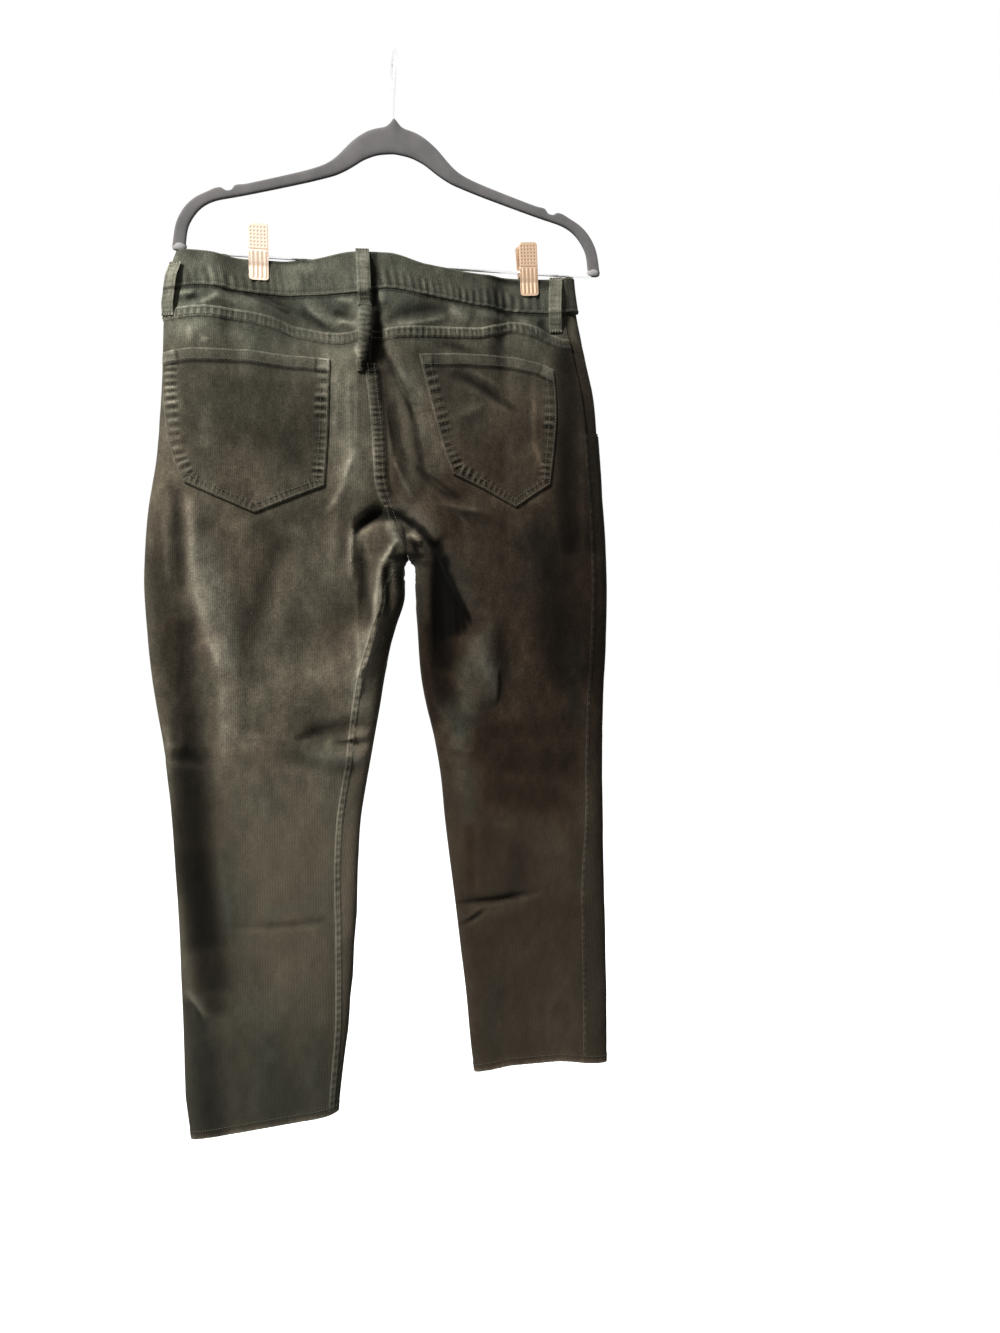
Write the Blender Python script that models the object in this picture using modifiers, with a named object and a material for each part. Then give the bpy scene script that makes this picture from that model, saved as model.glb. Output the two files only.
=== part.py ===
"""Five-pocket corduroy trousers, seen from the back, clipped by the waistband to a slim hanger.

Sizes are in millimetres in the tables and become metres in the mesh. X runs to the right as seen
from behind, Y away from the viewer towards the front of the garment, Z up. The origin is the inner
crest of the hook, where the hanger hangs. Heights on the cloth are given as a drop below the tips of
the hanger's arms, because that is how hanging cloth is measured.
"""

import bmesh
import bpy
import numpy as np

MM = 0.001
GAP = 0.3  # clearance between pieces that meet
SEAM = GAP / 2  # half the clearance, on each side of a seam

# Cloth
CLOTH = 1.5  # thickness of the corduroy
BAND = 3.0  # waistband: two layers
BAND_PROUD = 0.7  # how far the waistband's face stands in front of the panels below it
POCKET = 1.5
FACING = 1.1
LEFT, RIGHT = -1, 1  # the wearer's left is at -X

# Hanger
HOOK_RISE = 205.0  # inner crest of the hook above the tips of the arms
BAR_END, BAR_DROP = 217.0, 5.5  # where the trouser bar turns up into each tip, and how low it runs
BAR_RADIUS = 1.75
HANGER_THICK = 5.0
WIRE_RADIUS = 1.8
HOOK_RADIUS = 20.0  # inside
NECK_TOP = 138.0
NECK_RADIUS = 3.4


def columns(names, *rows):
    """A table: each name gives its column as an array."""
    return dict(zip(names.split(), np.array(rows, float).T))


# Outer edge of the hanging cloth at each height, left and right.
OUTLINE = columns(
    "drop left right",
    (-12, -219, 195),
    (0, -220.5, 196),
    (20, -227, 198),
    (43, -231.5, 202),
    (80, -237.5, 211),
    (144, -241, 225),
    (205, -247, 231.5),
    (288, -261, 238.5),
    (350, -265, 242),
    (414, -263, 243),
    (479, -257, 241.5),
    (530, -250.5, 242),
    (634, -244, 246.5),
    (771, -241, 254),
    (913, -241, 261),
    (980, -236, 263),
)

# Inner edge of each leg below the crotch.
INNER = columns(
    "drop left right",
    (319, 13, 15),
    (327, 9.5, 20.5),
    (355, 10, 21),
    (393, 0, 23),
    (440, -12, 26),
    (479, -18, 33),
    (522, -26, 43),
    (567, -34, 50.5),
    (612, -40.5, 55),
    (650, -43, 59.5),
    (740, -48, 71),
    (840, -56, 83),
    (900, -63, 89),
    (953, -69, 96),
)

# Centre seams above the crotch: the seat seam behind and the fly seam in front.
CENTRE = columns(
    "drop seat fly",
    (-12, -37, 8),
    (0, -36, 8),
    (50, -33, 8),
    (116, -28, 8),
    (176, -22, 8.5),
    (232, -19, 9.5),
    (262, -10, 11),
    (285, -1, 12),
    (303, 8, 13),
    (319, 14, 14),
)
CROTCH = 319.0

# Half the depth of the flattened tube: beside the outer edges, between the clips, how far the clips
# press it together (0 to 1), and the same half depth where the tube is a leg.
DEPTH = columns(
    "drop side middle pressed leg",
    (-12, 8.5, 29, 1.0, 22),
    (40, 9.5, 29, 1.0, 22),
    (80, 13, 29, 0.75, 22),
    (130, 18, 28, 0.25, 22),
    (180, 21, 27, 0.0, 22),
    (319, 21, 23, 0.0, 21),
    (420, 21, 23, 0.0, 17),
    (530, 21, 23, 0.0, 14),
    (700, 21, 23, 0.0, 12),
    (860, 21, 23, 0.0, 10.5),
    (980, 21, 23, 0.0, 10),
)
CLIP_X = {LEFT: -141.0, RIGHT: 145.0}
CLIP_REACH = 36.0
PRESSED_DEPTH = 2.75
MIDDLE_X, MIDDLE_REACH = -2.0, 150.0
BAND_EDGE, CLOTH_EDGE = 18.0, 34.0  # length over which the cloth rounds into its outer edge
CLEFT_TOP = 235.0  # the seat starts to round in towards the crotch here
LEG_BACK = {LEFT: 3.0, RIGHT: 20.0}  # how far each hem hangs forward of the bar, towards +Y

# Where the side seams lie: distance from the outer edge, behind (+) or in front (-).
OUTSEAM = columns(
    "drop left right",
    (0, -20, 20),
    (300, -20, 20),
    (600, -20, 22),
    (720, -18, 30),
    (980, -16, 31),
)

# Where the inside leg seams lie: distance from the inner edge, behind (+) or in front (-).
INSEAM = columns(
    "drop left right",
    (319, 0, 0),
    (345, 26, -20),
    (404, 27, -24),
    (471, 29, -24),
    (555, 25, -22),
    (648, 25, -20),
    (740, 20, -18),
    (880, 11, -15),
    (980, 9, -14),
)

# Top edge and bottom seam of the waistband, behind and in front.
WAIST = columns(
    "x back_top back_seam front_top front_seam",
    (-232, 4, 44, 4, 44),
    (-193, 5, 39.5, 6, 43),
    (-156, 9.6, 43, 9.6, 45),
    (-127, 9.8, 45, 10.5, 48),
    (-96, 10, 46.5, 15, 54),
    (-41, 1, 42, 23, 62),
    (-10, 1, 37, 25, 64),
    (30, 9, 41, 24, 63),
    (90, 13, 47, 18, 57),
    (145, 12.5, 48.5, 12.5, 50),
    (202, 7.8, 46, 7.8, 46),
)

# Seam between the yoke and the leg panel, behind.
YOKE = columns(
    "x drop",
    (-232, 70),
    (-194, 65),
    (-155, 67),
    (-126, 73),
    (-100, 84),
    (-63, 89),
    (-41, 86),
    (15, 79),
    (88, 75),
    (106, 70),
    (130, 64),
    (150, 67),
    (184, 81),
)

# Hems: share of the way from the outer to the inner edge, and the drop of each hem.
HEM = columns(
    "share left right",
    (0.0, 973, 939),
    (0.12, 970, 936),
    (0.4, 966, 928),
    (0.7, 962, 927),
    (0.92, 959, 932),
    (1.0, 956, 935),
)

# Largest folds: a face, the two ends of the crease line, how far it bows to the right of its own
# direction, its half width, and its rise out of the cloth (a trough is below zero).
FOLD_NAMES = "face x0 drop0 x1 drop1 bow wide rise"
BACK, FRONT = 1, -1
FOLDS = columns(
    FOLD_NAMES,
    # gathers under the middle belt loop and the folds across the right seat
    (BACK, -30, 54, -29, 122, 0, 8, 6),
    (BACK, -18, 50, -14, 118, 0, 7, -5),
    (BACK, -12, 112, 82, 260, 26, 13, -6),
    (BACK, -16, 262, 42, 302, 5, 10, 5),
    (BACK, -52, 290, -12, 264, 0, 10, -5),
    # left leg
    (BACK, -217, 290, -176, 450, -8, 18, 4),
    (BACK, -111, 290, -160, 430, 0, 16, -4),
    (BACK, -6, 300, -46, 470, 0, 10, 4),
    (BACK, -36, 306, -38, 400, 0, 9, -4),
    (BACK, -110, 506, -24, 520, 5, 9, -4),
    (BACK, -110, 526, -28, 536, 5, 10, 3),
    (BACK, -244, 526, -196, 536, 0, 10, -3),
    (BACK, -236, 380, -214, 800, -14, 14, -3),
    # right leg
    (BACK, 42, 322, 44, 476, -4, 10, -6),
    (BACK, 96, 370, 98, 486, -6, 15, 3),
    (BACK, 124, 380, 96, 560, -8, 16, -4),
    (BACK, 186, 290, 192, 515, 0, 26, -5),
    (BACK, 126, 500, 130, 625, 0, 24, -3),
    (BACK, 38, 482, 76, 520, 4, 9, -3),
    (BACK, 66, 712, 152, 712, 8, 10, -3),
    # the hidden front, in the same manner
    (FRONT, -10, 140, -96, 250, 12, 14, -5),
    (FRONT, 26, 150, 104, 268, -12, 14, -5),
    (FRONT, -30, 300, -140, 330, 10, 13, -4),
    (FRONT, 44, 300, 150, 336, -10, 13, -4),
    (FRONT, -120, 350, -140, 470, 6, 18, 4),
    (FRONT, 150, 350, 140, 480, -6, 18, 4),
    (FRONT, -210, 512, -70, 524, -6, 10, -4),
    (FRONT, 82, 520, 214, 508, 6, 10, -4),
    (FRONT, -190, 720, -90, 706, 4, 11, -3),
    (FRONT, 100, 716, 214, 730, 4, 11, -3),
)

# Back pockets: corners of each, from the top outer corner round to the bottom outer corner.
POCKETS = {
    LEFT: ((-236, 104), (-70, 107), (-74, 187), (-77, 238), (-150, 269), (-220, 238), (-232, 192)),
    RIGHT: ((173, 106), (22, 100), (38, 168), (57, 224), (130, 260), (169, 234), (176, 160)),
}

# Front scoop pockets: distance from the side seam along the waistband, and the drop at the seam.
SCOOP_WIDE, SCOOP_DEEP = 92.0, 178.0
FACING_MARGIN = 12.0
FLY_WIDE, FLY_DEEP = 38.0, 205.0

# Belt loops: where each stands, the drop of its two ends, and its lean to the side.
LOOP_WIDE, LOOP_THICK = 10.5, 1.8
LOOP_ARCH, LOOP_SEAT = 6.1, 0.7
LOOP_RAMP = 0.3  # share of a loop's length over which each end rises
LOOPS = {
    "belt_loop_centre_back": (LEFT, "back", -34.0, -1.0, 55.0),
    "belt_loop_left_side": (LEFT, "edge", 0.0, 18.0, 71.0),
    "belt_loop_right_side": (RIGHT, "back", 176.0, 10.0, 68.0),
    "belt_loop_left_front": (LEFT, "front", -84.0, 17.0, 66.0),
    "belt_loop_right_front": (RIGHT, "front", 98.0, 17.0, 66.0),
}

# Grid of each panel.
BACK_COLUMNS, FRONT_COLUMNS = 15, 12
TORSO_ROWS, LEG_ROWS, YOKE_ROWS, BAND_ROWS = 11, 27, 3, 3
FRONT_TOP, POCKET_ZONE = slice(0, 8), slice(0, 10)  # rows that front trim and back pockets lie on

# Half of the hanger: its middle line, height above the bar, and width.
ARM = columns(
    "x height wide",
    (0, 120, 27),
    (18, 117, 26),
    (36, 108, 22),
    (50, 96.5, 18),
    (63, 87.5, 14.5),
    (80, 80.5, 12),
    (120, 68.5, 11),
    (160, 57.5, 10.5),
    (184, 51.5, 10.5),
    (199, 44, 11.5),
    (210, 32.5, 12.5),
    (217, 18, 12.5),
    (220, -1, 13),
)
ARM_POINTS = 34
NOTCH_X, NOTCH_HEIGHT, NOTCH_RADIUS = 171.0, 64.0, 4.0

# Clip: side view of one jaw, as distance of its inner face from the middle plane, and height.
JAW = columns(
    "out height",
    (8.6, 24.5),
    (7.3, 10),
    (6.0, -5.5),
    (5.1, -12),
    (4.0, -17),
    (4.0, -30),
)
JAW_WIDE, JAW_THICK = 20.0, 0.9
EAR_TOP, EAR_DROP = 2.0, 9.0
EAR_FAR, EAR_NEAR = 3.6, 6.6  # how far an ear reaches past the bar, and back into its own plate
BARREL_RADIUS, BARREL_HOLE, BARREL_LONG = 3.5, 2.65, 12.0
CLIP_TILT = {LEFT: 0.0, RIGHT: 4.5}  # degrees

BUTTON_RADIUS, BUTTON_THICK = 8.5, 3.0

# The free end of the waistband laps over the other end at the front.
LAP = 0.2  # of a half's ring, on each side of the fly seam
LAP_STAND = BAND + GAP + 0.2
LAP_START, LAP_RAMP = 0.865, 0.035  # shares of the band's stations


# ---------------------------------------------------------------- lines and surfaces


def along(at, table, name, key=None):
    """A smooth line through a column of a table, with no overshoot between its rows."""
    knots = table[key or next(iter(table))]
    values = table[name]
    step = np.diff(knots)
    rise = np.diff(values) / step
    slope = np.concatenate([rise[:1], np.zeros(len(rise) - 1), rise[-1:]])
    steady = rise[:-1] * rise[1:] > 0
    before, after = rise[:-1][steady], rise[1:][steady]
    slope[1:-1][steady] = 2 * before * after / (before + after)
    at = np.clip(at, knots[0], knots[-1])
    row = np.clip(np.searchsorted(knots, at, side="right") - 1, 0, len(step) - 1)
    t = (at - knots[row]) / step[row]
    bend = step[row] * t * (1 - t) * (slope[row] * (1 - t) - slope[row + 1] * t)
    return values[row] * (1 + 2 * t) * (1 - t) ** 2 + values[row + 1] * t * t * (3 - 2 * t) + bend


def ease(t):
    """0 to 1 with soft ends."""
    t = np.clip(t, 0, 1)
    return t * t * (3 - 2 * t)


def rounded(q, closed=1.0):
    """Share of the full depth at q edge lengths from an edge that is open (0) or closed (1)."""
    return np.sqrt(np.clip(1 - (closed * np.clip(1 - q, 0, None)) ** 2, 0, None))


def side_name(side):
    return "left" if side == LEFT else "right"


def free_depth(x, drop):
    """Half the depth of the hips where the two clips press the tube together."""
    beside = along(drop, DEPTH, "side")
    middle = along(drop, DEPTH, "middle")
    swell = np.cos(np.clip((x - MIDDLE_X) / MIDDLE_REACH, -1, 1) * np.pi / 2) ** 2
    depth = beside + (middle - beside) * swell
    for clip_x in CLIP_X.values():
        press = along(drop, DEPTH, "pressed") * np.exp(-(((x - clip_x) / CLIP_REACH) ** 6))
        depth = depth + (PRESSED_DEPTH - depth) * press
    return depth


def fold_rise(x, drop, face):
    """How far the folds lift the cloth out of its smooth form."""
    total = np.zeros(np.broadcast(x, drop).shape)
    for row in zip(*FOLDS.values()):
        fold = dict(zip(FOLDS, row))
        run = np.array([fold["x1"] - fold["x0"], fold["drop1"] - fold["drop0"]])
        length = np.hypot(*run)
        run = run / length
        dx, dd = x - fold["x0"], drop - fold["drop0"]
        t = (dx * run[0] + dd * run[1]) / length
        across = dx * run[1] - dd * run[0] + 4 * fold["bow"] * t * (1 - t)
        taper = np.clip(1 - np.abs(2 * t - 1) ** 3, 0, None)
        lift = fold["rise"] * taper * np.exp(-((across / fold["wide"]) ** 2))
        total = total + np.where(face == fold["face"], lift, 0)
    return total


def widths(side, drop, face):
    """Outer x and inner x of one half or leg at a height, on the back or the front."""
    name = side_name(side)
    seam = np.where(face == BACK, along(drop, CENTRE, "seat"), along(drop, CENTRE, "fly"))
    inner = np.where(drop < CROTCH, seam, along(drop, INNER, name))
    return along(drop, OUTLINE, name), inner


def cloth_point(side, ring, drop, split=SEAM):
    """A point of the outer face of the cloth.

    ring is 0 on the outer edge, rises to 1 across the back to the centre seam or the inner edge, and
    falls to -1 across the front. Past 1 or -1 it carries on round the leg.
    """
    ring = np.where(ring > 1, ring - 2, np.where(ring < -1, ring + 2, ring))
    face = np.where(ring >= 0, BACK, FRONT)
    outer, inner = widths(side, drop, face)
    inner = inner + np.where(drop < CROTCH, side * split, 0)
    share = (1 - np.cos(np.pi * np.abs(ring))) / 2
    x = outer + (inner - outer) * share
    width = np.abs(inner - outer)
    as_leg = ease((drop - 200) / (CROTCH - 200))
    depth = free_depth(x, drop) * (1 - as_leg) + along(drop, DEPTH, "leg") * as_leg
    edge = BAND_EDGE + (CLOTH_EDGE - BAND_EDGE) * ease((drop - 20) / 100)
    closed = np.clip((drop - CLEFT_TOP) / (CROTCH - CLEFT_TOP), 0, 1)
    shape = rounded(share * width / edge) * rounded((1 - share) * width / edge, closed)
    depth = depth * shape + fold_rise(x, drop, face) * shape**2
    hang = LEG_BACK[side] * np.clip((drop - CROTCH) / 620, 0, None) ** 1.5
    y = hang - face * depth
    return np.stack(np.broadcast_arrays(x, y, -drop), -1)


def cloth_normal(side, ring, drop):
    """The direction straight out of the cloth at a point."""
    turn, fall = 0.004, 0.5
    torso = drop < CROTCH
    low = np.where(torso, np.clip(ring - turn, -1, 1), ring - turn)
    high = np.where(torso, np.clip(ring + turn, -1, 1), ring + turn)
    above = np.where(torso, drop - fall, np.maximum(drop - fall, CROTCH))
    below = np.where(torso, np.minimum(drop + fall, CROTCH - 1e-6), drop + fall)
    around = cloth_point(side, high, drop) - cloth_point(side, low, drop)
    down = cloth_point(side, ring, below) - cloth_point(side, ring, above)
    normal = side * np.cross(around, down)
    return normal / np.linalg.norm(normal, axis=-1, keepdims=True)


def ring_from_outer(side, distance, drop):
    """The ring value at a distance from the outer edge, behind (+) or in front (-)."""
    outer, inner = widths(side, drop, np.where(distance >= 0, BACK, FRONT))
    share = np.abs(distance) / np.abs(inner - outer)
    return np.sign(distance) * np.arccos(np.clip(1 - 2 * share, -1, 1)) / np.pi


def ring_at_x(side, x, drop, face):
    """The ring value where the back or the front of the cloth passes x."""
    outer, inner = widths(side, drop, face)
    share = np.clip((x - outer) / (inner - outer), 0, 1)
    return face * np.arccos(1 - 2 * share) / np.pi


def band_seam(x, ring):
    """Drop of the seam under the waistband."""
    return np.where(ring >= 0, along(x, WAIST, "back_seam"), along(x, WAIST, "front_seam"))


def yoke_seam(x, ring):
    """Drop of the seam between the yoke and the leg panel."""
    return along(x, YOKE, "drop")


def crotch_line(x, ring):
    return CROTCH + SEAM + 0 * x


def speed(side, ring, drop):
    """Millimetres along the cloth for one unit of ring."""
    step = cloth_point(side, ring + 0.002, drop) - cloth_point(side, ring - 0.002, drop)
    return np.linalg.norm(step, axis=-1) / 0.004


def seam_rings(side, toward, start_drop, end_drop):
    """Ring values of a panel's side seam and of its centre or inside leg seam.

    toward is BACK or FRONT: the way that the panel runs round from its side seam.
    """
    name = side_name(side)
    start = ring_from_outer(side, along(start_drop, OUTSEAM, name), start_drop)
    slip = along(end_drop, INSEAM, name)
    outer, inner = widths(side, end_drop, BACK)
    turned = np.sign(slip) * np.arccos(1 - 2 * np.abs(slip / (inner - outer))) / np.pi
    in_leg = end_drop >= CROTCH
    end = toward - np.where(in_leg, turned, 0)
    start = start + toward * SEAM / speed(side, start, start_drop)
    end = end - toward * np.where(in_leg, SEAM / speed(side, end, end_drop), 0)
    return start, end


def panel_grid(side, toward, top, bottom, torso, legs, column_count):
    """Ring and drop at each grid point of a panel.

    torso and legs are the shares of the way down for each row: from the seam line `top` to the line
    `bottom`, and from the crotch to the hem.
    """
    across = np.linspace(0, 1, column_count + 1)[None, :]
    rows = np.concatenate([torso, legs])[:, None]
    in_leg = (np.arange(len(rows)) >= len(torso))[:, None]
    drop = np.where(in_leg, CROTCH + 640 * rows, 60 + (CROTCH - 61) * rows) + 0 * across
    for _ in range(8):
        start, end = seam_rings(side, toward, drop[:, :1], drop[:, -1:])
        ring = start + (end - start) * across
        x = cloth_point(side, ring, drop)[..., 0]
        high = top(x, ring) + SEAM
        low = bottom(x, ring) - SEAM
        hem = along((1 - np.cos(np.pi * ring)) / 2, HEM, side_name(side))
        drop = np.where(in_leg, CROTCH + (hem - CROTCH) * rows, high + (low - high) * rows)
    return ring, drop


# ---------------------------------------------------------------- Blender helpers


def material(name, colour, roughness, metallic=0.0):
    made = bpy.data.materials.new(name)
    made.use_nodes = True
    shader = made.node_tree.nodes["Principled BSDF"]
    shader.inputs["Base Color"].default_value = (*colour, 1)
    shader.inputs["Roughness"].default_value = roughness
    shader.inputs["Metallic"].default_value = metallic
    made.diffuse_color = (*colour, 1)
    return made


def add_object(name, mesh, finish, helper=False):
    made = bpy.data.objects.new(name, mesh)
    (CUTTERS if helper else TROUSERS).objects.link(made)
    if helper:
        made.hide_render = True
        made.display_type = "WIRE"
    elif finish:
        mesh.materials.append(finish)
    return made


def mesh_from(shape, name):
    """A mesh from a bmesh, with its faces turned outwards."""
    bmesh.ops.recalc_face_normals(shape, faces=shape.faces)
    mesh = bpy.data.meshes.new(name)
    shape.to_mesh(mesh)
    shape.free()
    return mesh


def to_world(points):
    """Millimetres below and beside the arm tips to metres from the hook."""
    return (np.asarray(points) - (0, 0, HOOK_RISE)) * MM


def loft(name, outer, inner, finish, helper=False):
    """A wall between two grids of points, closed along its rim.

    Both faces are split along the same diagonals, so that a piece made from another's points, moved
    out, keeps its distance between the points as well.
    """
    shape = bmesh.new()
    faces = []
    for grid in (outer, inner):
        faces.append([[shape.verts.new(point) for point in row] for row in to_world(grid)])
    rows, cols = outer.shape[:2]
    for verts in faces:
        for r in range(rows - 1):
            for c in range(cols - 1):
                corner = verts[r][c], verts[r][c + 1], verts[r + 1][c + 1], verts[r + 1][c]
                shape.faces.new(corner[:3])
                shape.faces.new((corner[0], corner[2], corner[3]))
    rim = [(0, c) for c in range(cols)] + [(r, cols - 1) for r in range(1, rows)]
    rim += [(rows - 1, c) for c in range(cols - 2, -1, -1)] + [(r, 0) for r in range(rows - 2, 0, -1)]
    for here, there in zip(rim, rim[1:] + rim[:1]):
        (a, b), (c, d) = here, there
        shape.faces.new((faces[0][c][d], faces[0][a][b], faces[1][a][b], faces[1][c][d]))
    made = add_object(name, mesh_from(shape, name), finish, helper)
    made.data.shade_smooth()
    made.data.set_sharp_from_angle(angle=np.radians(50))
    return made


def wall(name, side, grid, finish, out=0.0, thick=CLOTH):
    """A wall of cloth on a grid, its face moved out along the cloth's normals."""
    ring, drop = grid
    face = cloth_point(side, ring, drop)
    normal = cloth_normal(side, ring, drop)
    return loft(name, face + normal * out, face + normal * (out - thick), finish)


def prism(name, outline, low, high):
    """A cutter: an outline of (x, drop) carried along Y."""
    shape = bmesh.new()
    corners = [(x, low, -drop) for x, drop in outline]
    face = shape.faces.new([shape.verts.new(corner) for corner in to_world(corners)])
    pulled = bmesh.ops.extrude_face_region(shape, geom=[face])["geom"]
    moved = [item for item in pulled if isinstance(item, bmesh.types.BMVert)]
    bmesh.ops.translate(shape, verts=moved, vec=(0, (high - low) * MM, 0))
    return add_object(name, mesh_from(shape, name), None, helper=True)


def cylinder(name, radius, length, centre, axis, finish=None, sides=16):
    """A cylinder along X, Y or Z. Without a finish it is a cutter."""
    shape = bmesh.new()
    bmesh.ops.create_cone(
        shape,
        cap_ends=True,
        segments=sides,
        radius1=radius * MM,
        radius2=radius * MM,
        depth=length * MM,
    )
    made = add_object(name, mesh_from(shape, name), finish, helper=finish is None)
    made.location = to_world(centre)
    made.rotation_euler = {"X": (0, np.pi / 2, 0), "Y": (np.pi / 2, 0, 0), "Z": (0, 0, 0)}[axis]
    return made


def box(name, low, high, finish=None):
    shape = bmesh.new()
    bmesh.ops.create_cube(shape, size=1)
    size = (np.array(high) - low) * MM
    bmesh.ops.scale(shape, verts=shape.verts, vec=size)
    bmesh.ops.translate(shape, verts=shape.verts, vec=to_world((np.array(low) + high) / 2))
    return add_object(name, mesh_from(shape, name), finish, helper=finish is None)


def boolean(piece, operation, cutter):
    step = piece.modifiers.new(f"{operation} {cutter.name}", "BOOLEAN")
    step.operation = operation
    step.object = cutter


# ---------------------------------------------------------------- the trousers


def leg_panels(cloth):
    """The four main panels. Returns the grids that other pieces lie on."""
    torso = 1 - (1 - np.arange(TORSO_ROWS) / TORSO_ROWS) ** 1.25
    legs = (np.arange(LEG_ROWS + 1) / LEG_ROWS) ** 1.25
    grids = {}
    for side in (LEFT, RIGHT):
        name = side_name(side)
        back = panel_grid(side, BACK, yoke_seam, crotch_line, torso, legs, BACK_COLUMNS)
        front = panel_grid(side, FRONT, band_seam, crotch_line, torso, legs, FRONT_COLUMNS)
        wall(f"back_leg_{name}", side, back, cloth)
        panel = wall(f"front_leg_{name}", side, front, cloth)
        scoop = prism(f"scoop_cutter_{name}", scoop_outline(side, 0), 0, 80)
        boolean(panel, "DIFFERENCE", scoop)
        if side == RIGHT:
            mouth = [(160, 20), (260, 20), (260, SCOOP_DEEP), (160, SCOOP_DEEP)]
            boolean(panel, "DIFFERENCE", prism("scoop_cutter_behind", mouth, -80, 0.5))
        grids[side] = back, front
    return grids


def scoop_outline(side, margin):
    """The curved mouth of a front pocket, closed beyond the waistband and the side."""
    name = side_name(side)
    turn = np.linspace(0, np.pi / 2, 9)
    from_seam = (SCOOP_WIDE + margin) * np.cos(turn)
    band = along(CLIP_X[side], WAIST, "front_seam")
    drop = band + (SCOOP_DEEP + margin - band) * np.sin(turn)
    x = along(drop, OUTLINE, name) - side * (from_seam - along(drop, OUTSEAM, name))
    outside = side * 320
    return [*zip(x, drop), (outside, drop[-1]), (outside, 0), (x[0], 0)]


def pocket_facings(grids, lining):
    """The cloth that shows in the mouth of each front pocket, behind the front panel."""
    for side in (LEFT, RIGHT):
        name = side_name(side)
        ring, drop = grids[side][1]
        under = ring[FRONT_TOP], drop[FRONT_TOP]
        facing = wall(f"pocket_facing_{name}", side, under, lining, -CLOTH - GAP, FACING)
        outline = scoop_outline(side, FACING_MARGIN)
        boolean(facing, "INTERSECT", prism(f"facing_cutter_{name}", outline, -80, 80))


def back_yokes(cloth):
    rows = np.linspace(0, 1, YOKE_ROWS + 1)
    for side in (LEFT, RIGHT):
        grid = panel_grid(side, BACK, band_seam, yoke_seam, rows, np.array([]), BACK_COLUMNS)
        wall(f"back_yoke_{side_name(side)}", side, grid, cloth)


def back_pockets(grids, cloth):
    """Patch pockets: the panel's own points, moved out, inside the pocket's outline."""
    for side, outline in POCKETS.items():
        name = side_name(side)
        ring, drop = grids[side][0]
        under = ring[POCKET_ZONE], drop[POCKET_ZONE]
        shell = wall(f"back_pocket_{name}", side, under, cloth, GAP + POCKET, POCKET)
        boolean(shell, "INTERSECT", prism(f"pocket_cutter_{name}", outline, -80, 1))


def fly_placket(grids, cloth):
    """The folded, stitched fly edge of the wearer's left front."""
    ring, drop = grids[LEFT][1]
    under = ring[FRONT_TOP], drop[FRONT_TOP]
    shell = wall("fly_placket", LEFT, under, cloth, GAP + CLOTH, CLOTH)
    middle = CENTRE["fly"][0]
    turn = np.linspace(0, np.pi / 2, 6)
    curve = zip(middle - FLY_WIDE * np.cos(turn), FLY_DEEP - FLY_WIDE * (1 - np.sin(turn)))
    outline = [*curve, (middle + 30, FLY_DEEP), (middle + 30, 0), (middle - FLY_WIDE, 0)]
    boolean(shell, "INTERSECT", prism("fly_cutter", outline, 0, 80))


def waistband(cloth):
    """One strip from the button side, round the back, and over its own start at the front."""
    halves = np.linspace(-1, 1, 31)
    under = [(LEFT, -1 + LAP * t) for t in (1, 0.75, 0.5)]
    over = [(RIGHT, -1 + LAP * t) for t in (0.5, 0.75, 1)]
    round_back = [(RIGHT, r) for r in halves] + [(LEFT, r) for r in halves[-2::-1]]
    stations = under + round_back + over
    path = np.linspace(0, 1, len(stations))
    shares = np.linspace(0, 1, BAND_ROWS + 1)
    face, normal = [], []
    for side, ring in stations:
        ring = np.full(len(shares), ring)
        drop = 10 + 40 * shares
        for _ in range(4):
            x = cloth_point(side, ring, drop, split=0)[:, 0]
            behind = ring >= 0
            top = np.where(behind, along(x, WAIST, "back_top"), along(x, WAIST, "front_top"))
            drop = top + (band_seam(x, ring) - SEAM - top) * shares
        face.append(cloth_point(side, ring, drop, split=0))
        normal.append(cloth_normal(side, ring, drop))
    face, normal = np.array(face), np.array(normal)
    out = (BAND_PROUD + LAP_STAND * ease((path - LAP_START) / LAP_RAMP))[:, None, None]
    return loft("waistband", face + normal * out, face + normal * (out - BAND), cloth)


def belt_loops(cloth):
    """Narrow strips that stand off the waistband, so that a belt passes behind them."""
    share = np.array([0, 0.09, 0.2, 0.35, 0.5, 0.65, 0.8, 0.91, 1.0])
    stand = ease(share / LOOP_RAMP) * ease((1 - share) / LOOP_RAMP)
    for name, (side, place, x, high, low) in LOOPS.items():
        drop = high + (low - high) * share
        ring = np.zeros(len(share))
        if place != "edge":
            ring = ring_at_x(side, x, drop, BACK if place == "back" else FRONT)
        seat = cloth_point(side, ring, drop)
        out = cloth_normal(side, ring, drop)
        out[:, 2] = 0
        out = np.mean(out, axis=0) / np.linalg.norm(np.mean(out, axis=0))
        across = np.cross(out, (0, 0, 1)) * LOOP_WIDE / 2
        on_band = BAND_PROUD * (drop < band_seam(seat[:, 0], ring) + 3)
        rise = (LOOP_SEAT + on_band + LOOP_ARCH * stand)[:, None] * out
        inner = seat + rise
        outer = inner + out * LOOP_THICK
        both = [np.stack([line - across, line + across], 1) for line in (outer, inner)]
        loft(name, *both, cloth)


def waist_button(metal):
    x = CENTRE["fly"][0] + 6
    drop = (along(x, WAIST, "front_top") + along(x, WAIST, "front_seam")) / 2
    ring = ring_at_x(LEFT, CENTRE["fly"][0], drop, FRONT)
    seat = cloth_point(LEFT, ring, drop)[1] + BAND_PROUD + LAP_STAND + 2 * GAP
    centre = (x, seat + BUTTON_THICK / 2, -drop)
    button = cylinder("waist_button", BUTTON_RADIUS, BUTTON_THICK, centre, "Y", metal, 24)
    soften(button, 0.7)


# ---------------------------------------------------------------- the hanger


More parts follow.
